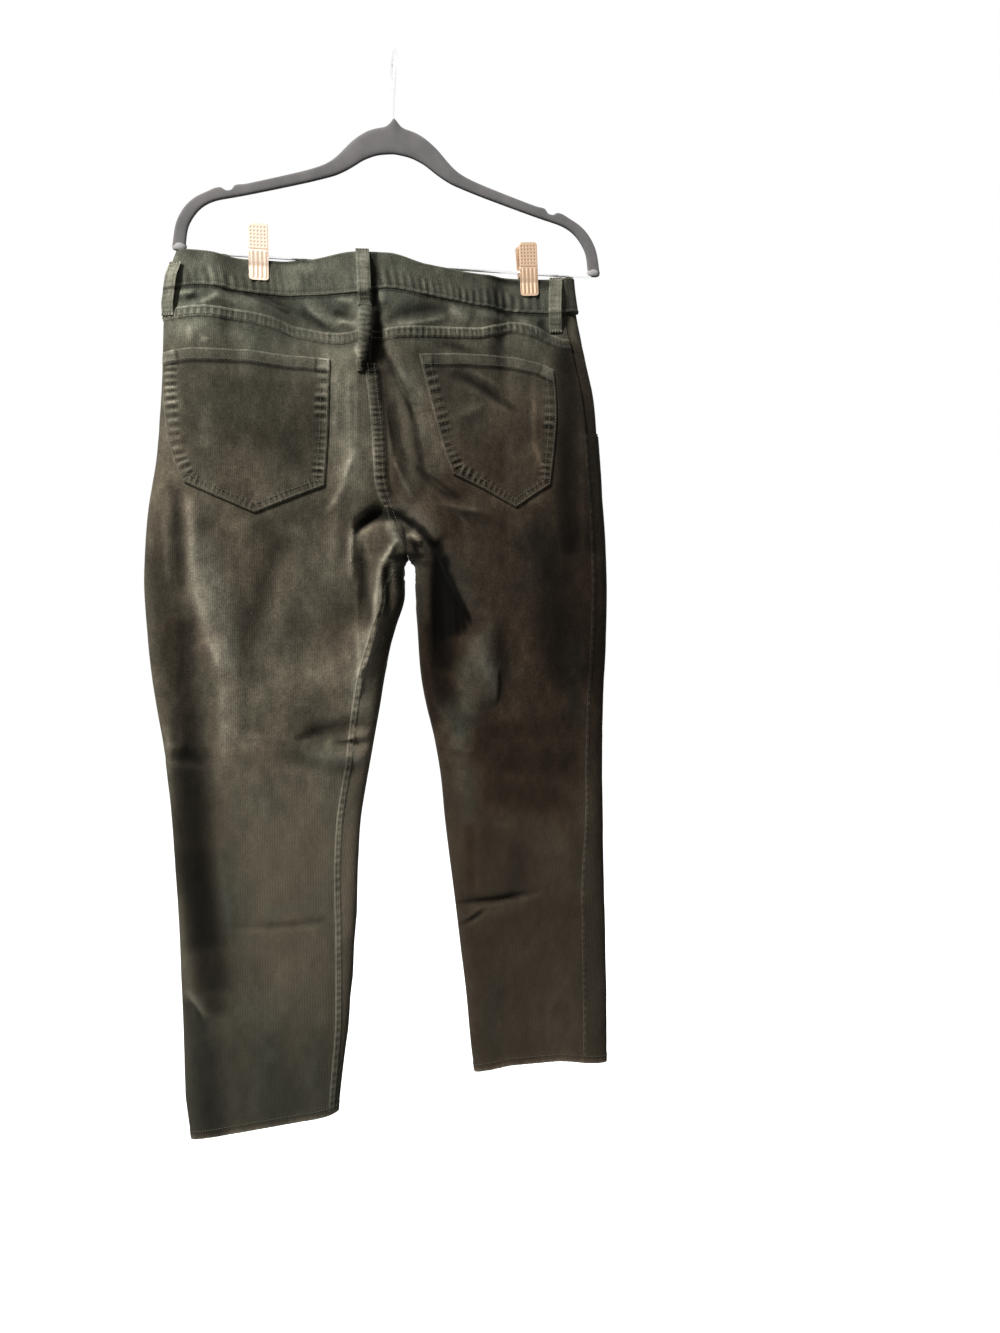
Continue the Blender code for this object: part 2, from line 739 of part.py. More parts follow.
def soften(piece, width, segments=2):
    bevel = piece.modifiers.new("edge", "BEVEL")
    bevel.width = width * MM
    bevel.segments = segments
    bevel.limit_method = "ANGLE"


def hanger_outline():
    """The flat shape of the hanger, from the neck along one arm, and its mirror image."""
    rows = {"row": np.arange(len(ARM["x"]), dtype=float), **ARM}
    at = np.linspace(0, len(ARM["x"]) - 1, ARM_POINTS)
    middle = np.stack([along(at, rows, "x"), along(at, rows, "height")], 1)
    run = np.gradient(middle, axis=0)
    run[0] = (1, 0)
    run = run / np.linalg.norm(run, axis=1, keepdims=True)
    half = np.stack([-run[:, 1], run[:, 0]], 1) * along(at, rows, "wide")[:, None] / 2
    upper, lower = middle + half, middle - half
    mirror = np.array([-1, 1])
    return np.concatenate([upper, lower[::-1], lower[1:] * mirror, upper[:0:-1] * mirror])


def hanger_body(velvet):
    flat = bpy.data.curves.new("hanger_body", "CURVE")
    flat.dimensions = "2D"
    flat.fill_mode = "BOTH"
    round_edge = 0.9
    flat.bevel_depth = round_edge * MM
    flat.bevel_resolution = 1
    flat.offset = -round_edge * MM
    flat.extrude = (HANGER_THICK / 2 - round_edge) * MM
    points = hanger_outline() * MM
    line = flat.splines.new("POLY")
    line.points.add(len(points) - 1)
    line.points.foreach_set("co", np.insert(points, [2, 2], [0, 1], axis=1).ravel())
    line.use_cyclic_u = True
    drawn = bpy.data.objects.new("hanger_drawing", flat)
    TROUSERS.objects.link(drawn)
    drawn.rotation_euler = (np.pi / 2, 0, 0)
    drawn.location = to_world((0, 0, 0))
    mesh = solid_mesh(drawn)
    body = add_object("hanger_body", mesh, velvet)
    neck = cylinder("neck_spigot", NECK_RADIUS, 26, (0, 0, NECK_TOP - 13), "Z", sides=20)
    boolean(body, "UNION", neck)
    hole = cylinder("hook_hole", WIRE_RADIUS + GAP, 24, (0, 0, NECK_TOP - 8), "Z")
    boolean(body, "DIFFERENCE", hole)
    for side in (LEFT, RIGHT):
        name = side_name(side)
        notch = cylinder(f"notch_{name}", NOTCH_RADIUS, 20, (side * NOTCH_X, 0, NOTCH_HEIGHT), "Y")
        boolean(body, "DIFFERENCE", notch)
        socket = (side * BAR_END, 0, 2)
        boolean(body, "DIFFERENCE", cylinder(f"bar_hole_{name}", BAR_RADIUS + GAP, 24, socket, "Z"))


def solid_mesh(drawn):
    """The mesh of a curve object, in place, with its caps welded. The curve is removed."""
    bpy.context.view_layer.update()
    graph = bpy.context.evaluated_depsgraph_get()
    mesh = bpy.data.meshes.new_from_object(drawn.evaluated_get(graph))
    mesh.transform(drawn.matrix_world)
    shape = bmesh.new()
    shape.from_mesh(mesh)
    bmesh.ops.remove_doubles(shape, verts=shape.verts, dist=1e-6)
    bmesh.ops.recalc_face_normals(shape, faces=shape.faces)
    shape.to_mesh(mesh)
    shape.free()
    bpy.data.objects.remove(drawn)
    mesh.materials.clear()
    return mesh


def rod(name, points, radius, finish):
    """A round wire along a list of points."""
    wire = bpy.data.curves.new(name, "CURVE")
    wire.dimensions = "3D"
    wire.bevel_depth = radius * MM
    wire.bevel_resolution = 2
    wire.use_fill_caps = True
    line = wire.splines.new("POLY")
    line.points.add(len(points) - 1)
    homogeneous = np.insert(to_world(points), 3, 1, axis=1)
    line.points.foreach_set("co", homogeneous.ravel())
    wire.materials.append(finish)
    made = bpy.data.objects.new(name, wire)
    TROUSERS.objects.link(made)
    return made


def trouser_bar(chrome):
    """A thin rod under the arms: its two ends turn up into the arm tips."""
    bend = 4.0
    turn = np.linspace(0, np.pi / 2, 5)
    corner_x = BAR_END - bend + bend * np.cos(turn)
    corner_z = -BAR_DROP + bend - bend * np.sin(turn)
    right = [(BAR_END, 0, 12), *zip(corner_x, 0 * turn, corner_z)]
    left = [(-x, y, z) for x, y, z in right]
    rod("hanger_bar", np.array(left + right[::-1]), BAR_RADIUS, chrome)


def hook(chrome):
    """Turned edge-on to the garment. Its inner crest is the origin."""
    reach = HOOK_RADIUS + WIRE_RADIUS
    centre = HOOK_RISE - HOOK_RADIUS
    turn = np.radians(np.linspace(-50, 195, 22))
    curl = [(0, -reach * np.cos(a), centre + reach * np.sin(a)) for a in turn]
    stem = [(0, 0, NECK_TOP - 16), (0, 0, NECK_TOP + 2), (0, -1.5, NECK_TOP + 8), (0, -6, NECK_TOP + 17)]
    rod("hanger_hook", np.array(stem + curl), WIRE_RADIUS, chrome)


def jaw(name, away, ear_out, metal):
    """One pressed half of a clip: a bent plate with two ears that the bar runs through."""
    half = JAW_WIDE / 2
    heights = JAW["height"]
    plate = []
    for depth in (JAW["out"] + JAW_THICK, JAW["out"]):
        line = np.stack([0 * depth, away * depth, heights], 1)
        plate.append(np.stack([line - (half, 0, 0), line + (half, 0, 0)], 1))
    made = loft(name, *plate, metal)
    for end in (-1, 1):
        x = sorted((end * ear_out, end * (ear_out - JAW_THICK)))
        y = sorted((away * EAR_NEAR, -away * EAR_FAR))
        ear = box(f"{name}_ear_{end + 1}", (x[0], y[0], -EAR_DROP), (x[1], y[1], EAR_TOP))
        boolean(made, "UNION", ear)
        ear.parent = made
    hole = cylinder(f"{name}_hole", BARREL_HOLE, 40, (0, 0, -BAR_DROP), "X")
    boolean(made, "DIFFERENCE", hole)
    hole.parent = made
    return made


def clip(side, metal, steel):
    """Two jaws and a spring sleeve on the bar, placed and tilted together."""
    name = side_name(side)
    half = JAW_WIDE / 2
    pieces = [
        jaw(f"clip_{name}_back_jaw", -1, half, metal),
        jaw(f"clip_{name}_front_jaw", 1, half - JAW_THICK - GAP, metal),
    ]
    sleeve = cylinder(f"clip_{name}_spring", BARREL_RADIUS, BARREL_LONG, (0, 0, -BAR_DROP), "X", steel)
    bore = cylinder(f"{sleeve.name}_bore", BARREL_HOLE, 40, (0, 0, -BAR_DROP), "X")
    boolean(sleeve, "DIFFERENCE", bore)
    pieces += [sleeve, bore]
    pivot = bpy.data.objects.new(f"clip_{name}_pivot", None)
    TROUSERS.objects.link(pivot)
    pivot.location = to_world((0, 0, -BAR_DROP))
    bpy.context.view_layer.update()
    for piece in pieces:
        piece.parent = pivot
        piece.matrix_parent_inverse = pivot.matrix_world.inverted()
    pivot.location = to_world((CLIP_X[side], 0, -BAR_DROP))
    pivot.rotation_euler = (0, -np.radians(CLIP_TILT[side]), 0)


def clear_scene():
    for item in list(bpy.data.objects):
        bpy.data.objects.remove(item)


def collection(name):
    made = bpy.data.collections.new(name)
    bpy.context.scene.collection.children.link(made)
    return made


clear_scene()
TROUSERS = collection("corduroy_trousers_on_hanger")
CUTTERS = collection("cutters")

corduroy = material("corduroy", (0.075, 0.078, 0.058), 0.95)
facing_cloth = material("facing_cloth", (0.10, 0.085, 0.06), 0.95)
antique_brass = material("antique_brass", (0.35, 0.24, 0.12), 0.4, 1.0)
grey_velvet = material("grey_velvet", (0.10, 0.105, 0.12), 0.9)
chrome = material("chrome", (0.75, 0.75, 0.77), 0.2, 1.0)
rose_gold = material("rose_gold", (0.83, 0.62, 0.48), 0.3, 1.0)

panels = leg_panels(corduroy)
back_yokes(corduroy)
back_pockets(panels, corduroy)
pocket_facings(panels, facing_cloth)
fly_placket(panels, corduroy)
waistband(corduroy)
belt_loops(corduroy)
waist_button(antique_brass)
hanger_body(grey_velvet)
trouser_bar(chrome)
hook(chrome)
for clip_side in (LEFT, RIGHT):
    clip(clip_side, rose_gold, chrome)
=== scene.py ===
# %% [markdown]
# # Corduroy trousers hanging from a clip hanger
#
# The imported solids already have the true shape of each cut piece: this script dresses them. Every piece
# of cloth is made again as a thin shell on the same surface, with many more points, so that creases,
# puckered seams and stitching can be real geometry. Sizes are in millimetres beside and below the tips
# of the hanger's arms, and become metres from the inner crest of the hook when a mesh is written.

# %% Load the frame
import bmesh
import bpy
import numpy as np
from mathutils import Matrix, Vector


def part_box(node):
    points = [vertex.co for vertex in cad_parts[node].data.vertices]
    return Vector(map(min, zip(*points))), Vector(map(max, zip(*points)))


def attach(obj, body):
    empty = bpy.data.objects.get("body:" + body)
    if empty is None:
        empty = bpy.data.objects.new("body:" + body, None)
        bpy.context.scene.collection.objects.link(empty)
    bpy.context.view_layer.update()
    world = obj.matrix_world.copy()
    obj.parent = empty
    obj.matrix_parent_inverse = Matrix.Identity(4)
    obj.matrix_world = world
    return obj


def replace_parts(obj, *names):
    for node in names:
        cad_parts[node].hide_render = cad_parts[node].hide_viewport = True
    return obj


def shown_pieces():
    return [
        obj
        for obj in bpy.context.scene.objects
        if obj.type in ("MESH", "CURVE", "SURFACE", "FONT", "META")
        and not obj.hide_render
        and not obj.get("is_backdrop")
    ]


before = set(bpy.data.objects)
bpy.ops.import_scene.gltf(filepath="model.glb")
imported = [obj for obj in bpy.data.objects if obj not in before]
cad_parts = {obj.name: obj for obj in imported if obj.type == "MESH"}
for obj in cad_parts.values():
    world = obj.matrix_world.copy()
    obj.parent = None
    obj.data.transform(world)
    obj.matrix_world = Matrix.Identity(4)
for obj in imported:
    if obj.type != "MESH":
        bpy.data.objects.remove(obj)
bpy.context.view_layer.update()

print("CAD nodes", len(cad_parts))

MM = 0.001
LEFT, RIGHT = -1, 1  # the wearer's left is at -X, because this is the view from behind
NAMES = {LEFT: "left", RIGHT: "right"}
BACK, FRONT = 1, -1

# %% [markdown]
# ## The camera and the light
#
# A garment is judged by its cut and its cloth. A normal lens a little over a metre away looks slightly
# down and slightly from one side. One large soft lamp from the upper left rakes over the cloth, so that
# ribs and creases cast shadows; the white room only fills those shadows a little.

# %% Camera
CAMERA_PLACE = (-0.110, -1.109, -0.504)
CAMERA_TURN, CAMERA_TILT, CAMERA_ROLL = 11.6, -7.0, 0.45  # degrees
SENSOR, LENS = 36.0, 27.007


def look(turn, tilt, roll):
    """Three unit vectors of a camera: to its right, up and forwards."""
    turn, tilt, roll = np.radians([turn, tilt, roll])
    ahead = np.array([np.sin(turn) * np.cos(tilt), np.cos(turn) * np.cos(tilt), np.sin(tilt)])
    level = np.array([np.cos(turn), -np.sin(turn), 0])
    above = np.cross(level, ahead)
    right = np.cos(roll) * level + np.sin(roll) * above
    up = np.cos(roll) * above - np.sin(roll) * level
    return right, up, ahead


def aim(thing, place_at, axes):
    """Put a camera or a lamp at a place, its right, up and backward axes given."""
    right, up, ahead = axes
    pose = np.eye(4)
    pose[:3] = np.stack([right, up, -ahead, place_at], axis=1)
    thing.matrix_world = Matrix(pose.tolist())


camera = bpy.data.objects.new("camera", bpy.data.cameras.new("camera"))
camera.data.sensor_fit = "VERTICAL"
camera.data.sensor_height = SENSOR
camera.data.lens = LENS
bpy.context.scene.collection.objects.link(camera)
aim(camera, CAMERA_PLACE, look(CAMERA_TURN, CAMERA_TILT, CAMERA_ROLL))
bpy.context.scene.camera = camera

# %% Lamps and room


def soft_lamp(name, place_at, target, size, power):
    lamp = bpy.data.objects.new(name, bpy.data.lights.new(name, "AREA"))
    lamp.data.shape = "DISK"
    lamp.data.size = size
    lamp.data.energy = power
    bpy.context.scene.collection.objects.link(lamp)
    ahead = np.array(target) - place_at
    ahead = ahead / np.linalg.norm(ahead)
    level = np.cross(ahead, (0, 0, 1))
    level = level / np.linalg.norm(level)
    aim(lamp, place_at, (level, np.cross(level, ahead), ahead))


TROUSERS_MIDDLE = (0.0, 0.0, -0.65)
soft_lamp("window", (-1.85, -1.5, 1.9), TROUSERS_MIDDLE, 0.7, 205)
soft_lamp("front_fill", (-0.3, -2.6, 0.3), TROUSERS_MIDDLE, 1.6, 6)
soft_lamp("far_side", (1.2, 2.2, 0.4), TROUSERS_MIDDLE, 1.4, 26)


def feed(tree, node, inputs):
    """Set a node's inputs: each takes a value or another node's output."""
    for key, value in dict(inputs).items():
        if isinstance(value, bpy.types.NodeSocket):
            tree.links.new(value, node.inputs[key])
        elif value is not None:
            node.inputs[key].default_value = value


def add(tree, kind, inputs=(), output=0, **settings):
    """A new node with its settings and its inputs. It gives one of the node's outputs."""
    node = tree.nodes.new(kind)
    for name, value in settings.items():
        setattr(node, name, value)
    feed(tree, node, inputs)
    return node.outputs[output]


def white_room(fill):
    """A white surround, seen straight and in polished metal, which lights the cloth only a little."""
    room = bpy.data.worlds.new("white_room")
    room.use_nodes = True
    tree = room.node_tree
    lighting = tree.nodes["Background"]
    feed(tree, lighting, {"Color": (0.93, 0.96, 1.0, 1), "Strength": fill})
    seen = add(tree, "ShaderNodeBackground", {"Color": (1, 1, 1, 1), "Strength": 1.0})
    path = tree.nodes.new("ShaderNodeLightPath").outputs
    either = {0: path["Is Camera Ray"], 1: path["Is Glossy Ray"]}
    in_sight = add(tree, "ShaderNodeMath", either, operation="MAXIMUM")
    mix = add(tree, "ShaderNodeMixShader", {"Fac": in_sight, 1: lighting.outputs[0], 2: seen})
    feed(tree, tree.nodes["World Output"], {"Surface": mix})
    bpy.context.scene.world = room


white_room(0.09)
bpy.context.scene.view_settings.view_transform = "Standard"

# %% [markdown]
# ## The surface that everything lies on
#
# Hanging trousers are a flattened tube that splits into two. At each height the tube has an outer and an
# inner edge and a depth, and it is pressed together where the clips hold it. These short tables are the
# garment's own measurements, the same as the solids have, so every shell lies where its solid is.

# %% Measurements
GAP = 0.3  # clearance between pieces that meet
SEAM = GAP / 2
CLOTH, BAND, POCKET, FACING = 1.5, 3.0, 1.5, 1.1  # thicknesses
BAND_PROUD = 0.7
HOOK_RISE = 205.0  # inner crest of the hook above the tips of the arms


def columns(names, *rows):
    """A table: each name gives its column as an array."""
    return dict(zip(names.split(), np.array(rows, float).T))


# Outer edge of the hanging cloth at each height, left and right.
OUTLINE = columns(
    "drop left right",
    (-12, -219, 195), (0, -220.5, 196), (20, -227, 198), (43, -231.5, 202),
    (80, -237.5, 211), (144, -241, 225), (205, -247, 231.5), (288, -261, 238.5),
    (350, -265, 242), (414, -263, 243), (479, -257, 241.5), (530, -250.5, 242),
    (634, -244, 246.5), (771, -241, 254), (913, -241, 261), (980, -236, 263),
)

# Inner edge of each leg below the crotch.
INNER = columns(
    "drop left right",
    (319, 13, 15), (327, 9.5, 20.5), (355, 10, 21), (393, 0, 23),
    (440, -12, 26), (479, -18, 33), (522, -26, 43), (567, -34, 50.5),
    (612, -40.5, 55), (650, -43, 59.5), (740, -48, 71), (840, -56, 83),
    (900, -63, 89), (953, -69, 96),
)

# Centre seams above the crotch: the seat seam behind and the fly seam in front.
CENTRE = columns(
    "drop seat fly",
    (-12, -37, 8), (0, -36, 8), (50, -33, 8), (116, -28, 8),
    (176, -22, 8.5), (232, -19, 9.5), (262, -10, 11), (285, -1, 12),
    (303, 8, 13), (319, 14, 14),
)
CROTCH = 319.0

# Half the depth of the flattened tube: beside the outer edges, between the clips, how far the clips
# press it together (0 to 1), and the same half depth where the tube is a leg.
DEPTH = columns(
    "drop side middle pressed leg",
    (-12, 8.5, 29, 1, 22),
    (40, 9.5, 29, 1, 22),
    (80, 13, 29, 0.75, 22),
    (130, 18, 28, 0.25, 22),
    (180, 21, 27, 0, 22),
    (319, 21, 23, 0, 21),
    (420, 21, 23, 0, 17),
    (530, 21, 23, 0, 14),
    (700, 21, 23, 0, 12),
    (860, 21, 23, 0, 10.5),
    (980, 21, 23, 0, 10),
)
CLIP_X = {LEFT: -141.0, RIGHT: 145.0}
CLIP_REACH = 36.0
PRESSED_DEPTH = 2.75
MIDDLE_X, MIDDLE_REACH = -2.0, 150.0
BAND_EDGE, CLOTH_EDGE = 18.0, 34.0  # length over which the cloth rounds into its outer edge
CLEFT_TOP = 235.0  # the seat starts to round in towards the crotch here
LEG_BACK = {LEFT: 3.0, RIGHT: 20.0}  # how far each hem hangs forward of the bar, towards +Y

# Where the side seams lie: distance from the outer edge, behind (+) or in front (-).
OUTSEAM = columns(
    "drop left right",
    (0, -20, 20), (300, -20, 20), (600, -20, 22), (720, -18, 30),
    (980, -16, 31),
)

# Where the inside leg seams lie: distance from the inner edge, behind (+) or in front (-).
INSEAM = columns(
    "drop left right",
    (319, 0, 0), (345, 26, -20), (404, 27, -24), (471, 29, -24),
    (555, 25, -22), (648, 25, -20), (740, 20, -18), (880, 11, -15),
    (980, 9, -14),
)

# Top edge and bottom seam of the waistband, behind and in front.
WAIST = columns(
    "x back_top back_seam front_top front_seam",
    (-232, 4, 44, 4, 44),
    (-193, 5, 39.5, 6, 43),
    (-156, 9.6, 43, 9.6, 45),
    (-127, 9.8, 45, 10.5, 48),
    (-96, 10, 46.5, 15, 54),
    (-41, 1, 42, 23, 62),
    (-10, 1, 37, 25, 64),
    (30, 9, 41, 24, 63),
    (90, 13, 47, 18, 57),
    (145, 12.5, 48.5, 12.5, 50),
    (202, 7.8, 46, 7.8, 46),
)

# Seam between the yoke and the leg panel, behind.
YOKE = columns(
    "x drop",
    (-232, 70), (-194, 65), (-155, 67), (-126, 73),
    (-100, 84), (-63, 89), (-41, 86), (15, 79),
    (88, 75), (106, 70), (130, 64), (150, 67),
    (184, 81),
)

# Hems: share of the way from the outer to the inner edge, and the drop of each hem.
HEM = columns(
    "share left right",
    (0, 973, 939), (0.12, 970, 936), (0.4, 966, 928), (0.7, 962, 927),
    (0.92, 959, 932), (1, 956, 935),
)

# Largest folds: the two ends of the crease line, how far it bows to the right of its own direction, its
# half width, and its rise out of the cloth (a trough is below zero).
FOLD_NAMES = "x0 drop0 x1 drop1 bow wide rise"
BACK_FOLDS = columns(
    FOLD_NAMES,
    # gathers under the middle belt loop and the folds across the right seat
    (-30, 54, -29, 122, 0, 8, 6),
    (-18, 50, -14, 118, 0, 7, -5),
    (-12, 112, 82, 260, 26, 13, -6),
    (-16, 262, 42, 302, 5, 10, 5),
    (-52, 290, -12, 264, 0, 10, -5),
    # left leg
    (-217, 290, -176, 450, -8, 18, 4),
    (-111, 290, -160, 430, 0, 16, -4),
    (-6, 300, -46, 470, 0, 10, 4),
    (-36, 306, -38, 400, 0, 9, -4),
    (-110, 506, -24, 520, 5, 9, -4),
    (-110, 526, -28, 536, 5, 10, 3),
    (-244, 526, -196, 536, 0, 10, -3),
    (-236, 380, -214, 800, -14, 14, -3),
    # right leg
    (42, 322, 44, 476, -4, 10, -6),
    (96, 370, 98, 486, -6, 15, 3),
    (124, 380, 96, 560, -8, 16, -4),
    (186, 290, 192, 515, 0, 26, -5),
    (126, 500, 130, 625, 0, 24, -3),
    (38, 482, 76, 520, 4, 9, -3),
    (66, 712, 152, 712, 8, 10, -3),
)

# The same on the hidden front, in the same manner.
FRONT_FOLDS = columns(
    FOLD_NAMES,
    (-10, 140, -96, 250, 12, 14, -5),
    (26, 150, 104, 268, -12, 14, -5),
    (-30, 300, -140, 330, 10, 13, -4),
    (44, 300, 150, 336, -10, 13, -4),
    (-120, 350, -140, 470, 6, 18, 4),
    (150, 350, 140, 480, -6, 18, 4),
    (-210, 512, -70, 524, -6, 10, -4),
    (82, 520, 214, 508, 6, 10, -4),
    (-190, 720, -90, 706, 4, 11, -3),
    (100, 716, 214, 730, 4, 11, -3),
)
FOLDS = {BACK: BACK_FOLDS, FRONT: FRONT_FOLDS}

# Front scoop pockets: distance from the side seam along the waistband, and the drop at the seam.
SCOOP_WIDE, SCOOP_DEEP = 92.0, 178.0
FACING_MARGIN = 12.0
FLY_WIDE, FLY_DEEP = 38.0, 205.0

# Belt loops: the side and the part of the band that each stands on, its x, and the drop of its two ends.
LOOP_WIDE, LOOP_THICK = 14.0, 1.8
EDGE_LOOP_ARCH, EDGE_LOOP_BACK = 3.4, 4.5  # its lower arch, and how far behind the outer edge it stands
LOOP_ARCH, LOOP_SEAT = 6.1, 0.7
LOOP_RAMP = 0.3  # share of a loop's length over which each end rises
LOOPS = {
    "belt_loop_centre_back": (LEFT, "back", -34.0, -1.0, 55.0),
    "belt_loop_left_side": (LEFT, "edge", 0.0, 18.0, 71.0),
    "belt_loop_right_side": (RIGHT, "back", 176.0, 10.0, 68.0),
    "belt_loop_left_front": (LEFT, "front", -84.0, 17.0, 66.0),
    "belt_loop_right_front": (RIGHT, "front", 98.0, 17.0, 66.0),
}

# Hanger bar and clips.
BAR_DROP = 5.5
JAW = columns(
    "out height",
    (8.6, 24.5), (7.3, 10), (6, -5.5), (5.1, -12),
    (4, -17), (4, -30),
)
JAW_WIDE, JAW_THICK = 20.0, 0.9
EAR_TOP, EAR_DROP = 2.0, 9.0
EAR_FAR, EAR_NEAR = 3.6, 6.6
BARREL_RADIUS, BARREL_LONG = 3.5, 12.0
CLIP_TILT = {LEFT: 0.0, RIGHT: 4.5}  # degrees
LAP, LAP_STAND = 0.2, BAND + GAP + 0.2  # how far the waistband laps over itself, and how far out

print("rows of measurements", len(OUTLINE["drop"]) + len(BACK_FOLDS["rise"]) + len(FRONT_FOLDS["rise"]))

# %% Lines and surfaces


def along(at, table, name):
    """A smooth line through a column of a table, with no overshoot between its rows."""
    knots = table[next(iter(table))]
    values = table[name]
    step = np.diff(knots)
    rise = np.diff(values) / step
    slope = np.concatenate([rise[:1], np.zeros(len(rise) - 1), rise[-1:]])
    steady = rise[:-1] * rise[1:] > 0
    before, after = rise[:-1][steady], rise[1:][steady]
    slope[1:-1][steady] = 2 * before * after / (before + after)
    at = np.clip(at, knots[0], knots[-1])
    row = np.clip(np.searchsorted(knots, at, side="right") - 1, 0, len(step) - 1)
    t = (at - knots[row]) / step[row]
    bend = step[row] * t * (1 - t) * (slope[row] * (1 - t) - slope[row + 1] * t)
    return values[row] * (1 + 2 * t) * (1 - t) ** 2 + values[row + 1] * t * t * (3 - 2 * t) + bend


def ease(t):
    """0 to 1 with soft ends."""
    t = np.clip(t, 0, 1)
    return t * t * (3 - 2 * t)


def bell(x, wide, power=2):
    """1 where x is 0, falling away on both sides."""
    return np.exp(-(np.abs(x / wide) ** power))


def unit(vectors):
    return vectors / np.linalg.norm(vectors, axis=-1, keepdims=True)


def length_along(points):
    """Length from the first point of each line of points to every point of it."""
    step = np.linalg.norm(np.diff(points, axis=-2), axis=-1)
    return np.concatenate([0 * step[..., :1], np.cumsum(step, axis=-1)], axis=-1)


def rounded(q, closed=1.0):
    """Share of the full depth at q edge lengths from an edge that is open (0) or closed (1)."""
    return np.sqrt(np.clip(1 - (closed * np.clip(1 - q, 0, None)) ** 2, 0, None))


def free_depth(x, drop):
    """Half the depth of the hips where the two clips press the tube together."""
    at_side = along(drop, DEPTH, "side")
    swell = np.cos(np.clip((x - MIDDLE_X) / MIDDLE_REACH, -1, 1) * np.pi / 2) ** 2
    depth = at_side + (along(drop, DEPTH, "middle") - at_side) * swell
    for clip_x in CLIP_X.values():
        press = along(drop, DEPTH, "pressed") * bell(x - clip_x, CLIP_REACH, 6)
        depth = depth + (PRESSED_DEPTH - depth) * press
    return depth


def rows_of(table):
    return [dict(zip(table, row)) for row in zip(*table.values())]


def beside(row, x, drop):
    """How far points lie along a row's line and to the right of it, and the line's length."""
    run = np.array([row["x1"] - row["x0"], row["drop1"] - row["drop0"]])
    length = max(np.hypot(*run), 1)
    dx, dd = x - row["x0"], drop - row["drop0"]
    return (dx * run[0] + dd * run[1]) / length, (dx * run[1] - dd * run[0]) / length, length


def lifted(tables, x, drop, face, end_power, side_power):
    """How far the creases of some tables, one for each face, lift the cloth."""
    total = np.zeros(np.broadcast(x, drop).shape)
    for on_face, table in tables.items():
        on_it = (face == on_face) | (on_face == 0)
        for row in rows_of(table):
            ahead, aside, length = beside(row, x, drop)
            t = ahead / length
            across = aside + 4 * row["bow"] * t * (1 - t)
            wide = row["wide"] * (1 + row.get("lean", 0) * np.sign(across))
            ends = np.clip(1 - np.abs(2 * t - 1) ** end_power, 0, None)
            total = total + np.where(on_it, row["rise"] * ends * bell(across, wide, side_power), 0)
    return total


def fold_rise(x, drop, face):
    return lifted(FOLDS, x, drop, face, 3, 2)


def share_across(ring):
    """Share of the way from the outer edge to the inner one."""
    return (1 - np.cos(np.pi * np.abs(ring))) / 2


def widths(side, drop, face):
    """Outer x and inner x of one half or leg at a height, on the back or the front."""
    name = NAMES[side]
    seam = np.where(face == BACK, along(drop, CENTRE, "seat"), along(drop, CENTRE, "fly"))
    inner = np.where(drop < CROTCH, seam, along(drop, INNER, name))
    return along(drop, OUTLINE, name), inner


def wrapped(ring):
    """Past 1 or -1 a ring value carries on round the leg, from the other face."""
    return np.where(ring > 1, ring - 2, np.where(ring < -1, ring + 2, ring))


def face_at(ring):
    return np.where(ring >= 0, BACK, FRONT)


def cloth_x(side, ring, drop, split=SEAM):
    """Where the cloth is from left to right."""
    ring = wrapped(ring)
    outer, inner = widths(side, drop, face_at(ring))
    inner = inner + np.where(drop < CROTCH, side * split, 0)
    return outer + (inner - outer) * share_across(ring)


def cloth_point(side, ring, drop, split=SEAM):
    """A point of the outer face of the cloth.

    ring is 0 on the outer edge, rises to 1 across the back to the centre seam or the inner edge, and
    falls to -1 across the front.
    """
    ring = wrapped(ring)
    face = face_at(ring)
    outer, inner = widths(side, drop, face)
    inner = inner + np.where(drop < CROTCH, side * split, 0)
    share = share_across(ring)
    x = outer + (inner - outer) * share
    width = np.abs(inner - outer)
    as_leg = ease((drop - 200) / (CROTCH - 200))
    depth = free_depth(x, drop) * (1 - as_leg) + along(drop, DEPTH, "leg") * as_leg
    edge = BAND_EDGE + (CLOTH_EDGE - BAND_EDGE) * ease((drop - 20) / 100)
    closed = np.clip((drop - CLEFT_TOP) / (CROTCH - CLEFT_TOP), 0, 1)
    shape = rounded(share * width / edge) * rounded((1 - share) * width / edge, closed)
    depth = depth * shape + fold_rise(x, drop, face) * shape**2
    hang = LEG_BACK[side] * np.clip((drop - CROTCH) / 620, 0, None) ** 1.5
    y = hang - face * depth
    return np.stack(np.broadcast_arrays(x, y, -drop), -1)


def cloth_normal(side, ring, drop):
    """The direction straight out of the cloth at a point."""
    turn, fall = 0.004, 0.5
    torso = drop < CROTCH
    low = np.where(torso, np.clip(ring - turn, -1, 1), ring - turn)
    high = np.where(torso, np.clip(ring + turn, -1, 1), ring + turn)
    above = np.where(torso, drop - fall, np.maximum(drop - fall, CROTCH))
    below = np.where(torso, np.minimum(drop + fall, CROTCH - 1e-6), drop + fall)
    around = cloth_point(side, high, drop) - cloth_point(side, low, drop)
    down = cloth_point(side, ring, below) - cloth_point(side, ring, above)
    return unit(side * np.cross(around, down))


def ring_from_outer(side, distance, drop):
    """The ring value at a distance from the outer edge, behind (+) or in front (-)."""
    outer, inner = widths(side, drop, face_at(distance))
    share = np.abs(distance) / np.abs(inner - outer)
    return np.sign(distance) * np.arccos(np.clip(1 - 2 * share, -1, 1)) / np.pi


def ring_at_x(side, x, drop, face):
    """The ring value where the back or the front of the cloth passes x."""
    outer, inner = widths(side, drop, face)
    share = np.clip((x - outer) / (inner - outer), 0, 1)
    return face * np.arccos(1 - 2 * share) / np.pi


def band_seam(x, ring):
    """Drop of the seam under the waistband."""
    return np.where(ring >= 0, along(x, WAIST, "back_seam"), along(x, WAIST, "front_seam"))


